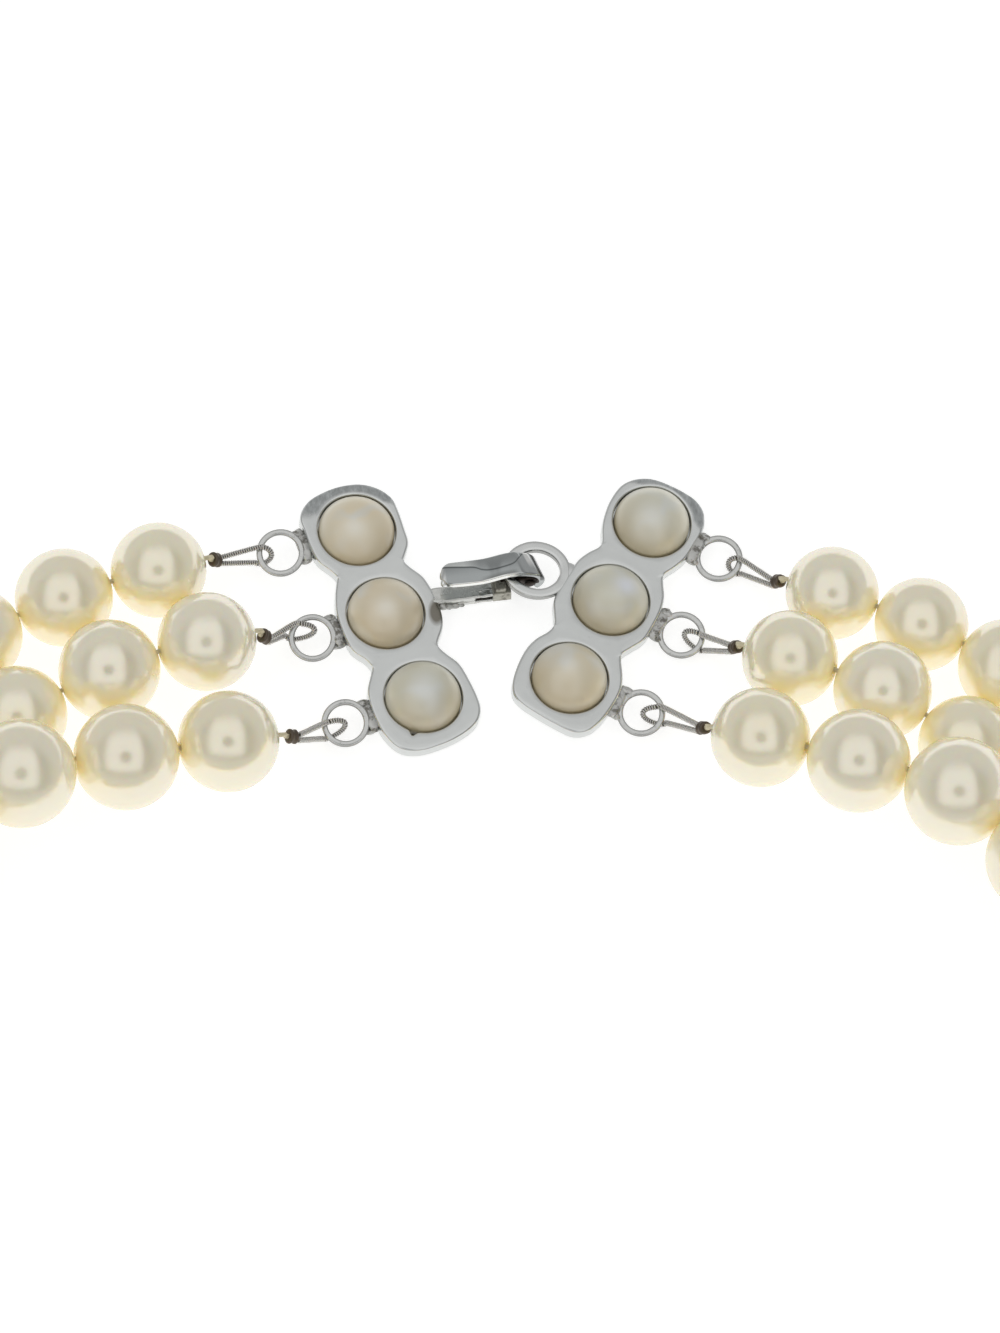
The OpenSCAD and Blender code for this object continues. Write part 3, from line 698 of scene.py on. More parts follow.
for k in range(3):
    h = HIDDEN[k]
    n = len(h)
    full = [three(0, k)[2]] + [p for p, _ in h] + [three(1, k)[2]]
    for part in range(4):
        i0, i1 = int(math.floor(n * part / 4 + 0.5)), int(math.floor(n * (part + 1) / 4 + 0.5))
        b = Builder()
        for i in range(i0, i1):
            add_pearl(b, h[i][0], h[i][1], full[i + 2] - full[i], 48, 32)
        name = "strand_%d_part_%d" % (k + 1, part + 1)
        b.make(name + "_pearls", mat_pearl, replaces=[name], slot="pearl_nacre")
    # thread that shows between the pearls
    b = Builder()
    rr = [FIRST_R[0][k][2]] + [r for _, r in h] + [FIRST_R[1][k][2]]
    for i in range(len(full) - 1):
        u = unit(full[i + 1] - full[i])
        a, c = full[i] + u * (rr[i] - 0.7), full[i + 1] - u * (rr[i + 1] - 0.7)
        path = a + (c - a) * np.linspace(0, 1, 9)[:, None]
        v, f = tube(path, 0.26, 10, shape=lambda j, ang: 1 + 0.10 * np.cos(3 * ang + j * 0.9))
        b.add(v, f)
    b.make("thread_strand_%d" % (k + 1), mat_thread, slot="thread_silk")

for g, side in ((0, "left"), (1, "right")):
    for k in range(3):
        t = thread_pts(g, k)
        end = t[4] + unit(t[3] - t[4]) * 0.3
        path, _ = smooth_path([t[0], t[0] + (t[1] - t[0]) * 0.5, t[1], t[2], t[3], end], 120)
        v, f = tube(path, 0.24, 12, shape=lambda j, ang: 1 + 0.12 * np.cos(3 * ang + j * 0.55))
        b = Builder()
        b.add(v, f)
        n = "thread_%s_%d" % (side, k + 1)
        b.make(n + "_silk", mat_thread, replaces=[n], slot="thread_silk")

# ------------------------------------------------------------------ crimps and coiled wire
for g, side in ((0, "left"), (1, "right")):
    for k in range(3):
        c = np.array(CRIMPS[g][k])
        d = unit(thread_pts(g, k)[1] - c)
        w1 = noise1(100 + g * 10 + k, 4, 1.3)
        w2 = noise1(130 + g * 10 + k, 3, 1.0)
        prof = [(0.30, -0.50), (0.52, -0.55), (0.68, -0.50), (0.77, -0.38), (0.76, -0.25), (0.70, -0.10), (0.69, 0.04),
                (0.75, 0.18), (0.78, 0.30), (0.75, 0.42), (0.64, 0.53), (0.48, 0.56), (0.28, 0.50)]
        v, f = lathe(c, d, prof, 36, wobble=lambda a, h: 0.95 + 0.07 * np.cos(2 * a + 0.8 + h) + 0.045 * w1(a + h * 2.5) * np.cos(a * 2 + w2(h * 4)))
        b = Builder()
        b.add(v, f)
        n = "crimp_%s_%d" % (side, k + 1)
        b.make(n + "_bead", mat_crimp, replaces=[n], slot="crimp_metal")

RING_MID, RING_WIRE, LOOP_WIRE = 4.42, 0.58, 0.66
# How far each loop leans round its ring, in degrees
LOOP_TURN = [[0, 20, 0], [0, -8, 0]]
for g, side in ((0, "left"), (1, "right")):
    for k in range(3):
        ring = RINGS[g][k]
        c = on_plate(g, ring[:3])
        nrm = np.array([0, -dsin(ring[3]), dcos(ring[3])])
        e1 = np.array([1.0, 0, 0])
        e2 = np.cross(nrm, e1)
        u = e1 * dcos(ring[4]) + e2 * dsin(ring[4])
        vv = (-1 if g == 0 else 1) * np.cross(nrm, u)
        w = c + u * RING_MID / 2
        rr = RING_WIRE / 2 + LOOP_WIRE / 2 + 0.07
        q = unit(nrm * rr + vv * ring[5])
        hr = math.hypot(rr, ring[5])
        tip = e1 * dcos(ring[4] + LOOP_TURN[g][k]) + e2 * dsin(ring[4] + LOOP_TURN[g][k])
        turn = [w + hr * q * dcos(a) - (ring[6] * tip if a < 180 else hr * u) * dsin(a) for a in range(0, 221, 20)]
        cr = np.array(CRIMPS[g][k])
        d = unit(thread_pts(g, k)[1] - cr)
        start = cr - d * 0.72
        q1 = unit(q - d * q.dot(d)) * (LOOP_WIRE / 2 + 0.03)
        pts = [start + q1, start + q1 - d * 0.4] + turn + [start - q1 - d * 0.4, start - q1]
        path, length = smooth_path(pts, 120)
        core_v, core_f = tube(path, 0.22, 8)
        # the fine wire wound round the loop
        pitch, fine = 0.245, 0.108
        turns = length / pitch
        per = 10
        m = int(turns * per)
        s = np.linspace(0, 1, m)
        t_, e_, f_ = frames(path)
        idx = s * (len(path) - 1)
        ii = np.arange(len(path))
        lerp = lambda arr: np.stack([np.interp(idx, ii, arr[:, j]) for j in range(3)], 1)
        cen, ee, ff = lerp(path), lerp(e_), lerp(f_)
        ang = 2 * math.pi * turns * s
        helix = cen + (LOOP_WIRE / 2 - fine) * (np.cos(ang)[:, None] * ee + np.sin(ang)[:, None] * ff)
        hv, hf = tube(helix, fine, 5)
        # dark core: painted shade inside the coil
        b = Builder()
        b.add(core_v, core_f)
        n = "wire_loop_%s_%d" % (side, k + 1)
        b.make(n + "_core", mat_coil_shade, slot="coiled_wire")
        b = Builder()
        b.add(hv, hf)
        b.make(n + "_coil", mat_wire, replaces=[n], slot="coiled_wire")

# ------------------------------------------------------------------ clasp plates
# Outline of the top face in the plate's frame, clockwise from the top left. Columns: x, y
OUT_L = [(-4.9, 11.6), (-4.75, 13.3), (-3.2, 14.9), (-0.9, 15.45), (1.0, 15.45), (2.8, 15.05), (4.3, 14.05), (5.2, 12.65),
         (5.35, 10.6), (5.25, 8.6), (5.1, 7.0), (4.25, 5.7), (3.95, 5.1), (4.45, 4.1), (5.2, 2.9), (5.55, 1.4), (5.7, 0.0),
         (5.6, -1.9), (5.2, -3.3), (4.4, -4.4), (4.0, -5.2), (4.5, -6.3), (5.4, -7.8), (5.75, -9.8), (5.9, -11.9),
         (5.75, -13.4), (5.0, -14.6), (3.6, -15.4), (1.8, -15.9), (0.0, -16.1), (-1.6, -16.1), (-3.1, -15.7),
         (-4.2, -14.8), (-4.95, -13.0), (-5.2, -11.0), (-5.15, -9.2), (-4.8, -7.7), (-3.9, -6.2), (-3.5, -5.4),
         (-3.9, -4.3), (-4.8, -3.0), (-5.05, -1.0), (-4.95, 1.5), (-4.3, 3.6), (-3.7, 4.9), (-3.45, 5.5), (-3.9, 6.5),
         (-4.7, 7.8), (-4.95, 9.6)]
OUT_R = [(-3.3, 14.4), (-4.6, 12.8), (-4.95, 10.6), (-4.75, 8.6), (-4.35, 7.2), (-3.75, 5.9), (-3.7, 5.1), (-4.4, 4.0),
         (-5.0, 2.6), (-5.2, 0.8), (-5.35, -1.2), (-5.25, -2.9), (-4.6, -4.2), (-4.05, -5.4), (-4.3, -6.5), (-5.0, -7.7),
         (-5.45, -9.3), (-5.45, -11.4), (-5.1, -13.4), (-4.4, -14.7), (-3.2, -15.3), (-1.4, -15.6), (0.9, -15.8),
         (3.0, -15.75), (4.3, -14.9), (5.0, -13.4), (5.35, -11.4), (5.4, -9.1), (4.9, -7.5), (4.0, -5.9), (3.75, -5.1),
         (4.4, -3.8), (5.1, -2.4), (5.25, -0.4), (5.2, 1.5), (4.85, 3.0), (4.15, 4.3), (3.75, 5.3), (4.3, 6.5),
         (4.9, 8.0), (5.15, 10.0), (5.15, 12.1), (4.4, 14.0), (3.1, 14.95), (1.4, 15.2), (-0.4, 15.2), (-1.9, 15.05)]
SEATS = [[(0.4, 10.0), (0.0, 0.0), (0.45, -10.3)], [(0.0, 10.3), (0.0, 0.0), (0.0, -10.25)]]
SEAT_R, SEAT_DEPTH, PLATE_T = 4.1, 1.1, 1.6


def closed_curve(pts, n):
    p = np.asarray(pts, float)
    m = len(p)
    out = []
    for i in range(m):
        a, b, c, d = p[(i - 1) % m], p[i], p[(i + 1) % m], p[(i + 2) % m]
        for t in np.linspace(0, 1, 12, endpoint=False):
            out.append(0.5 * (2 * b + (c - a) * t + (2 * a - 5 * b + 4 * c - d) * t * t + (3 * b - a - 3 * c + d) * t ** 3))
    out = np.array(out)
    for _ in range(4):
        out = 0.5 * out + 0.25 * (np.roll(out, 1, 0) + np.roll(out, -1, 0))
    return out


def ray_hit(o, d, a, b):
    """Distances from o along d to the segments a-b, infinite where they miss."""
    s = b - a
    den = d[0] * s[:, 1] - d[1] * s[:, 0]
    den = np.where(np.abs(den) < 1e-12, 1e-12, den)
    w = a - o
    t = (w[:, 0] * s[:, 1] - w[:, 1] * s[:, 0]) / den
    q = (w[:, 0] * d[1] - w[:, 1] * d[0]) / den
    t = np.where((t > 1e-6) & (q >= -1e-6) & (q <= 1 + 1e-6), t, np.inf)
    return t


def smooth01(t):
    t = min(1.0, max(0.0, t))
    return t * t * (3 - 2 * t)


# Arc of each plate's sloping top end, in degrees round the top seat, and its slope
CRESCENT = [(14, 150), (14, 146)]
CREST_SLOPE = [0.30, 0.26]


def build_plate(g):
    curve = closed_curve(OUT_L if g == 0 else OUT_R, 0)
    seats = [np.array(s) for s in SEATS[g]]
    seg_a, seg_b = curve, np.roll(curve, -1, 0)
    # the notches between the lobes: the narrowest places on each side
    notch = []
    for i in (0, 1):
        mid = (seats[i] + seats[i + 1]) / 2
        near = curve[np.abs(curve[:, 1] - mid[1]) < 1.6]
        right = near[near[:, 0] > 0]
        left = near[near[:, 0] < 0]
        notch.append((left[np.argmax(left[:, 0])], right[np.argmin(right[:, 0])]))
    b = Builder()
    for i, c in enumerate(seats):
        borders = [notch[j] for j in (i - 1, i) if 0 <= j < 2]
        angs = set(np.round(np.arange(0, 360, 2.5), 3))
        for nl, nr in borders:
            for p in (nl, nr):
                a = math.degrees(math.atan2(p[1] - c[1], p[0] - c[0])) % 360
                angs = {x for x in angs if abs(x - a) > 0.9}
                angs |= {a - 0.35, a, a + 0.35}
        angs = sorted(angs)
        cols, grs = [], []
        for a in angs:
            d = np.array([dcos(a), dsin(a)])
            t_edge = ray_hit(c, d, seg_a, seg_b).min()
            t_bord = min([ray_hit(c, d, nl[None], nr[None]).min() for nl, nr in borders] + [np.inf])
            border = t_bord < t_edge - 1e-4
            R = min(t_edge, t_bord)
            sr = SEAT_R
            if g == 0 and i == 2:
                # the seat's rim is nicked here
                dd = (a - 236 + 180) % 360 - 180
                sr += 0.55 * math.exp(-(dd / 4.5) ** 2)
            st = [(sr - 0.02, -SEAT_DEPTH), (sr, -0.6), (sr, -0.14), (sr + 0.03, -0.06), (sr + 0.09, -0.015), (sr + 0.17, 0.0)]
            Re = R - 0.36 if not border else R
            for q in (0.33, 0.66):
                st.append((sr + 0.17 + (Re - sr - 0.17) * q, 0.0))
            if border:
                st += [(R, 0.0)] * 8 + [(R, -PLATE_T), (R, -PLATE_T), (R, -PLATE_T)]
            else:
                st += [(Re, 0.0), (R - 0.26, -0.008), (R - 0.18, -0.03), (R - 0.11, -0.07), (R - 0.05, -0.14),
                       (R - 0.015, -0.22), (R, -0.32), (R, -0.8), (R, -1.36), (R - 0.05, -1.5), (R - 0.2, -PLATE_T)]
            col = []
            for rad, z in st:
                p = c + rad * d
                gr = 0.0
                if i == 0 and z > -0.5 and rad >= sr - 0.001:
                    # away from the rim of the top seat, over the arc from a_lo to a_hi
                    a_lo, a_hi = CRESCENT[g]
                    w = smooth01((a - a_lo) / 22) * smooth01((a_hi - a) / 22) if a < 270 else smooth01((a - 360 - a_lo) / 22)
                    over = rad - (sr + 0.28 + 0.5 * (1 - w))
                    if over > 0 and w > 0:
                        z -= CREST_SLOPE[g] * w * over * min(1.0, over / 0.35)
                        gr = min(1.0, w * 1.6) * min(1.0, over / 0.12)
                col.append((p[0], p[1], z))
                grs.append(gr)
            cols.append(col)
        n = len(cols)
        m = len(cols[0])
        v = [on_plate(g, cols[j][r]) for r in range(m) for j in range(n)]
        f = [tuple(reversed(q)) for q in grid_faces(m, n)]
        v.append(on_plate(g, (c[0], c[1], -SEAT_DEPTH)))
        v.append(on_plate(g, (c[0], c[1], -PLATE_T)))
        f += [(m * n, j, (j + 1) % n) for j in range(n)]
        f += [(m * n + 1, (m - 1) * n + (j + 1) % n, (m - 1) * n + j) for j in range(n)]
        b.add(v, f)
        g2 = np.array(grs).reshape(n, m).T.ravel()
        b.t[-1][:, 1] = np.concatenate([g2, [0, 0]])
    return b


def ring_piece(centre, normal, mid_r, wire_r, seed, segs=72, sides=16, squash=1.0, flat=3.6):
    e1, e2, a = frame_of(normal)
    w = noise1(seed, 4, 1.0)
    ang = np.linspace(0, 2 * math.pi, segs, endpoint=False)
    v, tint = [], []
    for j, t in enumerate(ang):
        o = np.cos(t) * e1 + np.sin(t) * e2
        rr = wire_r * (1 + 0.03 * w(t * 2))
        for s in range(sides):
            q = 2 * math.pi * s / sides
            cq, sq = math.cos(q), math.sin(q)
            # a rounded square section, so the top is nearly flat
            k = (abs(cq) ** flat + abs(sq) ** flat) ** (-1 / flat)
            v.append(centre + o * (mid_r + rr * k * cq) + a * rr * squash * k * sq)
            # second channel: painted shade on the inner and outer sides of the wire
            tint.append((0.5, smooth01((abs(k * cq) - 0.8) / 0.2), 0.5, 1.0))
    f = []
    for j in range(segs):
        for s in range(sides):
            p, q = j * sides + s, j * sides + (s + 1) % sides
            p2, q2 = ((j + 1) % segs) * sides + s, ((j + 1) % segs) * sides + (s + 1) % sides
            f.append((p, p2, q2, q))
    return v, f, np.array(tint)


def blob(centre, radii, seed, axes=None, segs=24, rings=14, rough=0.12, square=2.0):
    """A lump of solder."""
    w1, w2 = noise1(seed, 4, 1.0), noise1(seed + 5, 4, 1.0)
    axes = np.eye(3) if axes is None else axes
    v = []
    for i in range(rings + 1):
        th = math.pi * i / rings
        for j in range(segs):
            ph = 2 * math.pi * j / segs
            r = 1 + rough * (w1(ph * 1.0 + 2 * math.cos(th)) * math.sin(th) * 0.5 + w2(3 * math.cos(th)) * 0.3)
            p = np.array([math.sin(th) * math.cos(ph), math.sin(th) * math.sin(ph), math.cos(th)])
            p = p * r / (np.abs(p) ** square).sum() ** (1 / square)
            v.append(np.array(centre) + axes.T @ (p * np.array(radii)))
    return v, [tuple(reversed(q)) for q in grid_faces(rings + 1, segs)]


def plate_axes(g):
    o = on_plate(g, (0, 0, 0))
    return np.array([on_plate(g, (1, 0, 0)) - o, on_plate(g, (0, 1, 0)) - o, on_plate(g, (0, 0, 1)) - o])


for g, side in ((0, "left"), (1, "right")):
    b = build_plate(g)
    b.make("plate_%s_face" % side, mat_plate, replaces=["clasp_plate_%s" % side], slot="plate_silver", crease=40)
    ax = plate_axes(g)
    rb, sb = Builder(), Builder()
    out = -1 if g == 0 else 1
    for k in range(3):
        ring = RINGS[g][k]
        c = on_plate(g, ring[:3])
        nrm = np.array([0, -dsin(ring[3]), dcos(ring[3])])
        rb.add(*ring_piece(c, nrm, RING_MID / 2, 0.32, 300 + 10 * g + k, sides=20, squash=0.86))
        # solder between ring and plate
        for s in (-1, 1):
            p = on_plate(g, (ring[0] - out * 2.3, ring[1] + s * 1.45, ring[2] + s * 1.45 * dsin(ring[3])))
            sb.add(*blob(p, (0.75, 0.42, 0.34), 400 + 10 * g + 3 * k + s, axes=ax, rough=0.22))
        # web between the ring's wire and the plate
        p = on_plate(g, (out * (5.15 + abs(ring[0]) - RING_MID / 2) / 2, ring[1], ring[2] * 0.75 - 0.1))
        sb.add(*blob(p, (0.62, 1.85, 0.4), 440 + 10 * g + k, axes=ax, rough=0.2, square=3.0, segs=48, rings=24))
    rb.make("strand_rings_%s" % side, mat_ring, slot="plate_silver")
    sb.make("solder_%s" % side, mat_rough, slot="plate_silver")

# half pearls. Columns: radius, height, tone from warm cream to bluish white, place and size of the painted highlight
# patch
DOMES = [[(4.0, 2.8, 0.1, -0.5, -0.3, 0.09), (4.0, 3.7, 0.38, -0.4, -0.5, 0.08), (4.0, 3.8, 0.9, 0.0, 0.2, 0.16)],
         [(3.98, 3.5, 0.85, 0.1, -0.5, 0.16), (3.99, 3.6, 0.95, 0.9, 1.15, 0.10), (3.98, 3.6, 0.5, -0.4, 0.2, 0.06)]]
for g, side in ((0, "left"), (1, "right")):
    ax = plate_axes(g)
    for k in range(3):
        c = on_plate(g, (*SEATS[g][k], -SEAT_DEPTH + 0.04))
        r, h, tone, gx, gy, gs = DOMES[g][k]
        prof = [(r - 0.04, 0.0), (r, 0.03), (r, 0.5)] + [(r * math.cos(t), 0.5 + (h - 0.5) * math.sin(t)) for t in np.linspace(0.03, math.pi / 2 - 0.02, 34)]
        v, f = lathe(c, ax[2], prof, 96)
        rel = (np.array(v) - c) @ ax.T
        rad = np.hypot(rel[:, 0], rel[:, 1]) / r
        side_y = rel[:, 1] / np.maximum(rad * r, 1e-6)
        # painted shade, growing toward the rim on the -y side
        painted_shade_low = np.clip(rad - 0.15, 0, 1) ** 1.3 * np.clip(0.55 - 0.65 * side_y, 0, 1)
        # painted highlight near the rim on the +y side
        painted_rim_highlight = np.clip((rad - 0.5) / 0.4, 0, 1) ** 2 * np.clip(0.4 + 0.7 * side_y, 0, 1) * (rel[:, 2] > 0.7)
        # painted shadow of the seat round the foot
        painted_shade_low = np.where(rel[:, 2] < 0.42, 2.0, painted_shade_low)
        # painted highlight patch
        painted_highlight_patch = np.exp(-(((rel[:, 0] - gx) / r) ** 2 + ((rel[:, 1] - gy) / r) ** 2) / gs)
        painted_highlight_patch *= 1.0 if tone > 0.92 else 0.65
        b = Builder()
        b.add(v, f, np.stack([np.full(len(v), tone), painted_shade_low * 0.5, painted_rim_highlight, painted_highlight_patch], 1))
        n = "half_pearl_%s_%d" % (side, k + 1)
        b.make(n + "_nacre", mat_half, replaces=[n], slot="half_pearl_nacre")

# catch ring on the right plate
ax = plate_axes(1)
c = on_plate(1, (-8.32, -0.46, -0.47))
b = Builder()
v, f, tint = ring_piece(c, ax[2], 3.0, 0.57, 500, segs=96, sides=32, squash=0.78, flat=5.5)
v = np.array(v)
v[:, 1] = c[1] + (v[:, 1] - c[1]) * 0.91
b.add(v, f, tint)
# web that runs into the plate
web_v, web_f = blob(on_plate(1, (-5.3, 0.15, -0.46)), (0.7, 1.88, 0.43), 510, axes=ax, rough=0.0, square=4.0, segs=64, rings=32)
b.add(web_v, web_f, (0.5, 0.0, 0.5, 1.0))
b.make("catch_ring", mat_catch, slot="plate_silver", crease=40)

# ------------------------------------------------------------------ clasp: base bar, lever
def at_hinge(p):
    p = np.asarray(p, float)
    x = p[..., 0] * dcos(TURN) - p[..., 1] * dsin(TURN)
    y = p[..., 0] * dsin(TURN) + p[..., 1] * dcos(TURN)
    return np.stack([x, y, p[..., 2]], -1) + HINGE


def strip(path, half_w, thick, segs_w=10, edge=0.12, wave=None):
    """A metal strip along a path of (x, z) points in the hinge's frame, with rounded edges.
    half_w and thick are functions of the length fraction."""
    path = np.asarray(path, float)
    t = np.gradient(path, axis=0)
    t /= np.linalg.norm(t, axis=1)[:, None]
    nrm = np.stack([-t[:, 1], t[:, 0]], 1)
    # cross-section: rounded rectangle
    sec = []
    nw = 8
    for sx, sz in ((1, 1), (-1, 1), (-1, -1), (1, -1)):
        for a in np.linspace(0, 90, 4):
            base = {(1, 1): 0, (-1, 1): 90, (-1, -1): 180, (1, -1): 270}[(sx, sz)]
            sec.append((sx, sz, dcos(base + a), dsin(base + a)))
    v = []
    for i in range(len(path)):
        f = i / (len(path) - 1)
        hw, th = half_w(f), thick(f) / 2
        e = min(edge, th * 0.9, hw * 0.9)
        for sx, sz, ca, sa in sec:
            y = sx * (hw - e) + e * ca
            h = sz * (th - e) + e * sa
            if wave is not None:
                h += wave(f, y)
            v.append((path[i, 0] + nrm[i, 0] * h, y, path[i, 1] + nrm[i, 1] * h))
    n = len(sec)
    faces = grid_faces(len(path), n)
    faces.append(tuple(range(n))[::-1])
    faces.append(tuple((len(path) - 1) * n + i for i in range(n)))
    return at_hinge(v), faces


def spline2(pts, n):
    p, _ = smooth_path([(x, 0, z) for x, z in pts], n)
    return p[:, [0, 2]]


def round_box(lo, hi, edge, seed=None, sub=6, lump=0.0):
    """A box with rounded edges, in the hinge's frame, with slight lumps."""
    lo, hi = np.array(lo, float), np.array(hi, float)
    cen, half = (lo + hi) / 2, (hi - lo) / 2
    w = noise1(seed or 1, 5, 1.2)
    v, f, idx = [], [], {}

    def pt(p):
        key = tuple(np.round(p, 6))
        if key not in idx:
            q = np.clip(p, -(half - edge), half - edge)
            d = p - q
            ln = np.linalg.norm(d)
            s = q + d / ln * edge if ln > 1e-9 else p
            if lump:
                s = s * (1 + 0) + lump * np.array([w(s[1] * 3 + s[2] * 2), w(s[0] * 3 + s[2] * 4 + 1), w(s[0] * 4 + s[1] * 2 + 2)])
            idx[key] = len(v)
            v.append(cen + s)
        return idx[key]

    def ticks(h):
        inner = np.linspace(-(h - edge), h - edge, sub + 1)
        return np.concatenate([[-h, -h + edge * 0.45], inner, [h - edge * 0.45, h]])

    for ax in range(3):
        o = [i for i in range(3) if i != ax]
        ta, tb = ticks(half[o[0]]), ticks(half[o[1]])
        for s in (-1, 1):
            for i in range(len(ta) - 1):
                for j in range(len(tb) - 1):
                    quad = []
                    for a, c in ((ta[i], tb[j]), (ta[i + 1], tb[j]), (ta[i + 1], tb[j + 1]), (ta[i], tb[j + 1])):
                        p = np.zeros(3)
                        p[ax], p[o[0]], p[o[1]] = s * half[ax], a, c
                        quad.append(pt(p))
                    f.append(tuple(quad) if (s > 0) == (ax != 1) else tuple(reversed(quad)))
    return at_hinge(v), f


# base bar in two layers, with the raised block under the catch ring and the hinge tongue
b = Builder()
b.add(*round_box((-10.8, -1.75, -1.72), (-5.75, 0.05, -1.05), 0.16, seed=11, lump=0.02, sub=12))
b.add(*round_box((-6.3, -1.2, -1.72), (-3.2, 0.05, -1.05), 0.16, seed=11, lump=0.02, sub=12))
b.add(*round_box((-6.3, -1.75, -1.4), (-3.2, -0.85, -1.05), 0.16, seed=11, lump=0.02, sub=12))
b.add(*round_box((-10.7, -1.73, -2.6), (-5.75, 0.03, -1.94), 0.16, seed=12, lump=0.025, sub=12))
b.add(*round_box((-6.3, -1.2, -2.6), (-2.0, 0.03, -1.94), 0.16, seed=12, lump=0.025, sub=12))
b.add(*round_box((-6.3, -1.73, -2.6), (-2.0, -0.85, -2.2), 0.16, seed=12, lump=0.025, sub=12))
b.add(*round_box((-10.6, -1.66, -2.3), (-5.85, -0.1, -1.4), 0.1, seed=13, lump=0.02, sub=10))
b.make("base_bar", mat_bar, slot="plate_silver")
# block coloured brown-grey as painted shade under the leaf
b = Builder()
b.add(*round_box((-3.95, -1.79, -2.55), (-2.0, 1.3, -0.95), 0.10, seed=14, lump=0.02, sub=12))
b.add(*round_box((-3.6, -1.6, -1.2), (-2.5, 1.25, -0.3), 0.10, seed=16, lump=0.015, sub=10))
b.make("bar_block", mat_block_shade, slot="plate_silver")
b = Builder()
b.add(*blob(at_hinge((-9.25, -1.76, -2.05)), (0.55, 0.4, 0.5), 601, rough=0.4))
b.add(*blob(at_hinge((-8.6, -1.8, -2.2)), (0.5, 0.34, 0.42), 602, rough=0.4))
b.add(*blob(at_hinge((-7.95, -1.8, -2.25)), (0.45, 0.28, 0.34), 604, rough=0.4))
b.add(*blob(at_hinge((-7.35, -1.76, -2.3)), (0.36, 0.2, 0.24), 605, rough=0.4))
b.make("bar_solder", mat_rough, slot="plate_silver")
# tongue and a box in the slot of the base, both near black as painted shade
b = Builder()
b.add(*round_box((-3.0, -0.75, -0.56), (-0.74, 0.45, -0.3), 0.08, seed=15, lump=0.012, sub=8))
b.add(*round_box((-5.9, -1.27, -2.3), (-3.9, -0.4, -1.3), 0.05, seed=18))
b.make("hinge_tongue", mat_hinge_shade, slot="plate_silver")
b = Builder()
e = at_hinge((0, 1, 0)) - at_hinge((0, 0, 0))
v, f = lathe(at_hinge((0, 0, 0)), e, [(0.46, -0.75), (0.8, -0.75), (0.85, -0.7), (0.85, 0.7), (0.8, 0.75), (0.46, 0.75)], 48)
b.add(v, f)
b.make("hinge_knuckle", mat_hinge_shade, slot="plate_silver")

# lever: wavy leaf, curl and ears
LEAF = [(-9.15, 1.42), (-8.4, 1.42), (-7.2, 1.34), (-6.0, 1.28), (-5.0, 1.27), (-4.2, 1.38), (-3.4, 1.62), (-2.6, 1.86),
        (-1.8, 1.98), (-1.0, 1.98), (-0.3, 1.86), (0.35, 1.62)]
curl = [(1.62 * dcos(a), 1.62 * dsin(a)) for a in range(64, -60, -9)]
pts = spline2(LEAF + curl, 140)
end = np.linalg.norm(pts - pts[0], axis=1)


def leaf_w(f):
    d = f * 16.4
    r = 1.33
    if d < 1.5:
        return r * math.sqrt(max(0.02, 1 - ((1.5 - d) / 1.5) ** 2)) * 0.9 + 0.1 * r
    return r + 0.05 * min(1, (d - 1.5) / 8)


v, f = strip(pts, leaf_w, lambda q: 0.78 if q > 0.04 else 0.55 + 5.7 * q, edge=0.24,
             wave=lambda q, y: 0.05 * math.sin(q * 9) * y + 0.06 * (1 - (y / 1.35) ** 2) * (1 if q < 0.55 else 0.3))
# the bend runs slantwise over the strip
c0, ex, ey = at_hinge((0, 0, 0)), at_hinge((1, 0, 0)) - at_hinge((0, 0, 0)), at_hinge((0, 1, 0)) - at_hinge((0, 0, 0))
hx, hy, hz = (v - c0) @ ex, (v - c0) @ ey, v[:, 2] - c0[2]
# the curl ends sooner toward the back
ang, rad = np.degrees(np.arctan2(hz, hx)), np.hypot(hx, hz)
cut = 30 - (30 - ang) * (30 - (-53 + 16 * (hy + 1.35))) / 83
ang = np.where((hx > 0) & (ang < 30), cut, ang)
nx, nz = rad * np.cos(np.radians(ang)), rad * np.sin(np.radians(ang))
v = v + ex * (nx - hx)[:, None] + np.array([0, 0, 1.0]) * (nz - hz)[:, None]
hx = nx
v = v - ex * (np.clip((hx + 1.5) / 1.8, 0, 1) * (0.28 + 0.33 * (hy + 1.35)))[:, None]
b = Builder()
b.add(v, f)
ears = Builder()
for s in (-1, 1):
    v, f = lathe(at_hinge((0, s * 1.1, 0)), e, [(0.46, -0.24), (0.8, -0.24), (0.85, -0.19), (0.85, 0.19), (0.8, 0.24), (0.46, 0.24)], 40)
    ears.add(v, f)
    ears.add(*round_box((0.2, s * 1.1 - 0.24, -0.45), (1.4 if s < 0 else 0.7, s * 1.1 + 0.24, 0.45), 0.08, seed=20 + s))
    ears.add(*round_box((-1.25, s * 1.1 - 0.22, -0.3), (0.2, s * 1.1 + 0.22, 0.8), 0.1, seed=24 + s))
ears.make("lever_ears", mat_hinge_shade, body="lever", slot="lever_silver")
b.add(*blob(at_hinge((-9.0, -0.75, 1.35)), (0.28, 0.42, 0.3), 701, rough=0.3))
b.add(*blob(at_hinge((-9.05, 0.1, 1.35)), (0.22, 0.5, 0.28), 702, rough=0.3))
b.make("lever_leaf", mat_lever, body="lever", replaces=["clasp_lever"], slot="lever_silver")

# hinge pin, peened at the front end and flush with the slanting end at the back
prof = [(0.05, -1.66), (0.42, -1.64), (0.56, -1.56), (0.56, -1.44), (0.38, -1.40), (0.38, 0.95), (0.30, 1.02), (0.05, 1.03)]
v, f = lathe(at_hinge((0, 0, 0)), e, prof, 40)
b = Builder()
b.add(v, f)
b.make("hinge_pin", mat_hinge_shade, replaces=["lever_pin"], slot="pin_silver", crease=40)

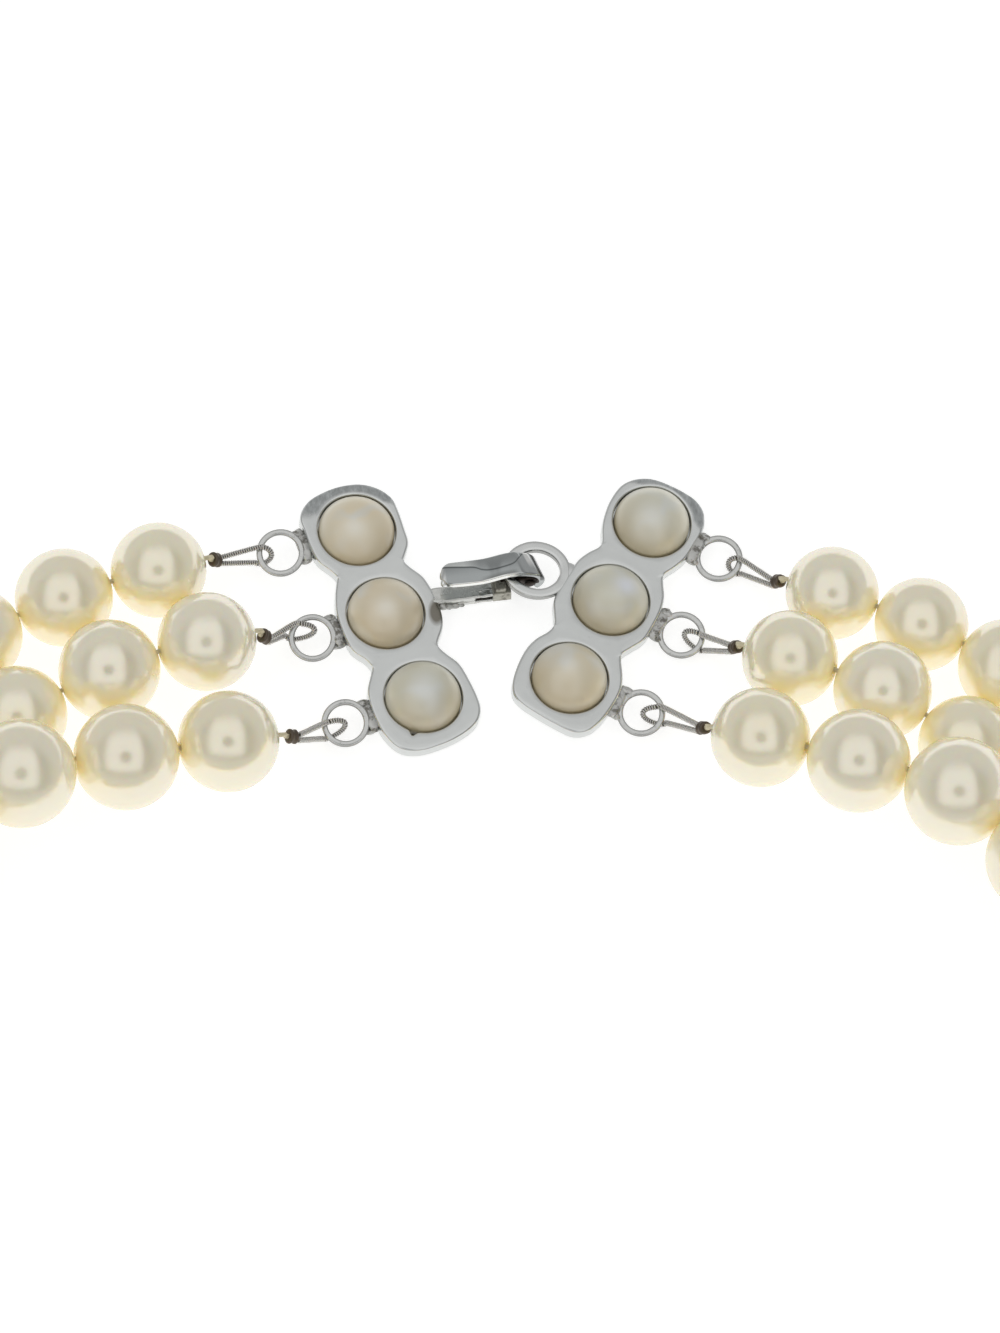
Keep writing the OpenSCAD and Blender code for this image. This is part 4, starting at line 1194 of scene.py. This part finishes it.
# ------------------------------------------------------------------ table
me = bpy.data.meshes.new("table")
S = 1.6
me.from_pydata([(-S, -S, 0), (S, -S, 0), (S, S, 0), (-S, S, 0)], [], [(0, 1, 2, 3)])
table = bpy.data.objects.new("table", me)
scene.collection.objects.link(table)
m, nt, bsdf = new_mat("white table")
bsdf.inputs["Base Color"].default_value = (0.58, 0.58, 0.58, 1)
bsdf.inputs["Roughness"].default_value = 0.35
bsdf.inputs["Specular IOR Level"].default_value = 0.25
bsdf.inputs["Emission Color"].default_value = (1.0, 1.0, 0.995, 1)
bsdf.inputs["Emission Strength"].default_value = 0.68
me.materials.append(m)

# ------------------------------------------------------------------ light
world = bpy.data.worlds.new("studio")
scene.world = world
world.use_nodes = True
nt = world.node_tree
bg = nt.nodes["Background"]
gen = node(nt, "ShaderNodeTexCoord").outputs["Generated"]


def math_node(op, a, b=None, c=None, clamp=False):
    n = node(nt, "ShaderNodeMath", operation=op, use_clamp=clamp)
    for i, x in enumerate((a, b, c)):
        if x is None:
            continue
        if hasattr(x, "links"):
            nt.links.new(x, n.inputs[i])
        else:
            n.inputs[i].default_value = x
    return n.outputs[0]


def dot(vec):
    n = node(nt, "ShaderNodeVectorMath", operation="DOT_PRODUCT")
    nt.links.new(gen, n.inputs[0])
    n.inputs[1].default_value = vec
    return n.outputs["Value"]


def step(x, lo, hi):
    n = node(nt, "ShaderNodeMapRange", interpolation_type="SMOOTHSTEP")
    nt.links.new(x, n.inputs[0])
    n.inputs[1].default_value, n.inputs[2].default_value = lo, hi
    n.inputs[3].default_value, n.inputs[4].default_value = 0.0, 1.0
    return n.outputs[0]


# a soft box hangs in front of the table at the elevation of the lens; its angles are across and up
ce, se = math.cos(ELEV), math.sin(ELEV)
across = math_node("ARCTAN2", dot((1, 0, 0)), dot((0, -ce, se)))
up = math_node("ARCTAN2", dot((0, se, ce)), dot((0, -ce, se)))
D = math.radians
box_x = math_node("MULTIPLY", step(across, D(-56), D(-34)), math_node("SUBTRACT", 1.0, step(across, D(31), D(44))))
box_y = math_node("MULTIPLY", step(up, D(-42), D(-23)), math_node("SUBTRACT", 1.0, step(up, D(38), D(74))))
box = math_node("MULTIPLY", box_x, box_y)
fx = math_node("MULTIPLY", step(across, D(-86), D(-52)), math_node("SUBTRACT", 1.0, step(across, D(48), D(84))))
fy = math_node("MULTIPLY", step(up, D(-54), D(-35)), math_node("SUBTRACT", 1.0, step(up, D(40), D(80))))
surround = math_node("MULTIPLY", fx, fy)
lens_spot = step(dot((0, -ce, se)), math.cos(D(16)), math.cos(D(8)))
right_side = step(across, D(38), D(52))
# brightness: the room, a darker band round the box, the box itself and the dark lens in its middle
lum = math_node("SUBTRACT", 0.54, math_node("MULTIPLY", surround, 0.19))
lum = math_node("SUBTRACT", lum, math_node("MULTIPLY", math_node("MULTIPLY", right_side, surround), 0.06))
lum = math_node("ADD", lum, math_node("MULTIPLY", box, 0.545))
lum = math_node("SUBTRACT", lum, math_node("MULTIPLY", lens_spot, 0.55))
col = node(nt, "ShaderNodeCombineColor")
nt.links.new(lum, col.inputs[0])
nt.links.new(lum, col.inputs[1])
nt.links.new(math_node("MULTIPLY", lum, 1.0), col.inputs[2])
nt.links.new(col.outputs[0], bg.inputs[0])
bg.inputs[1].default_value = 1.0
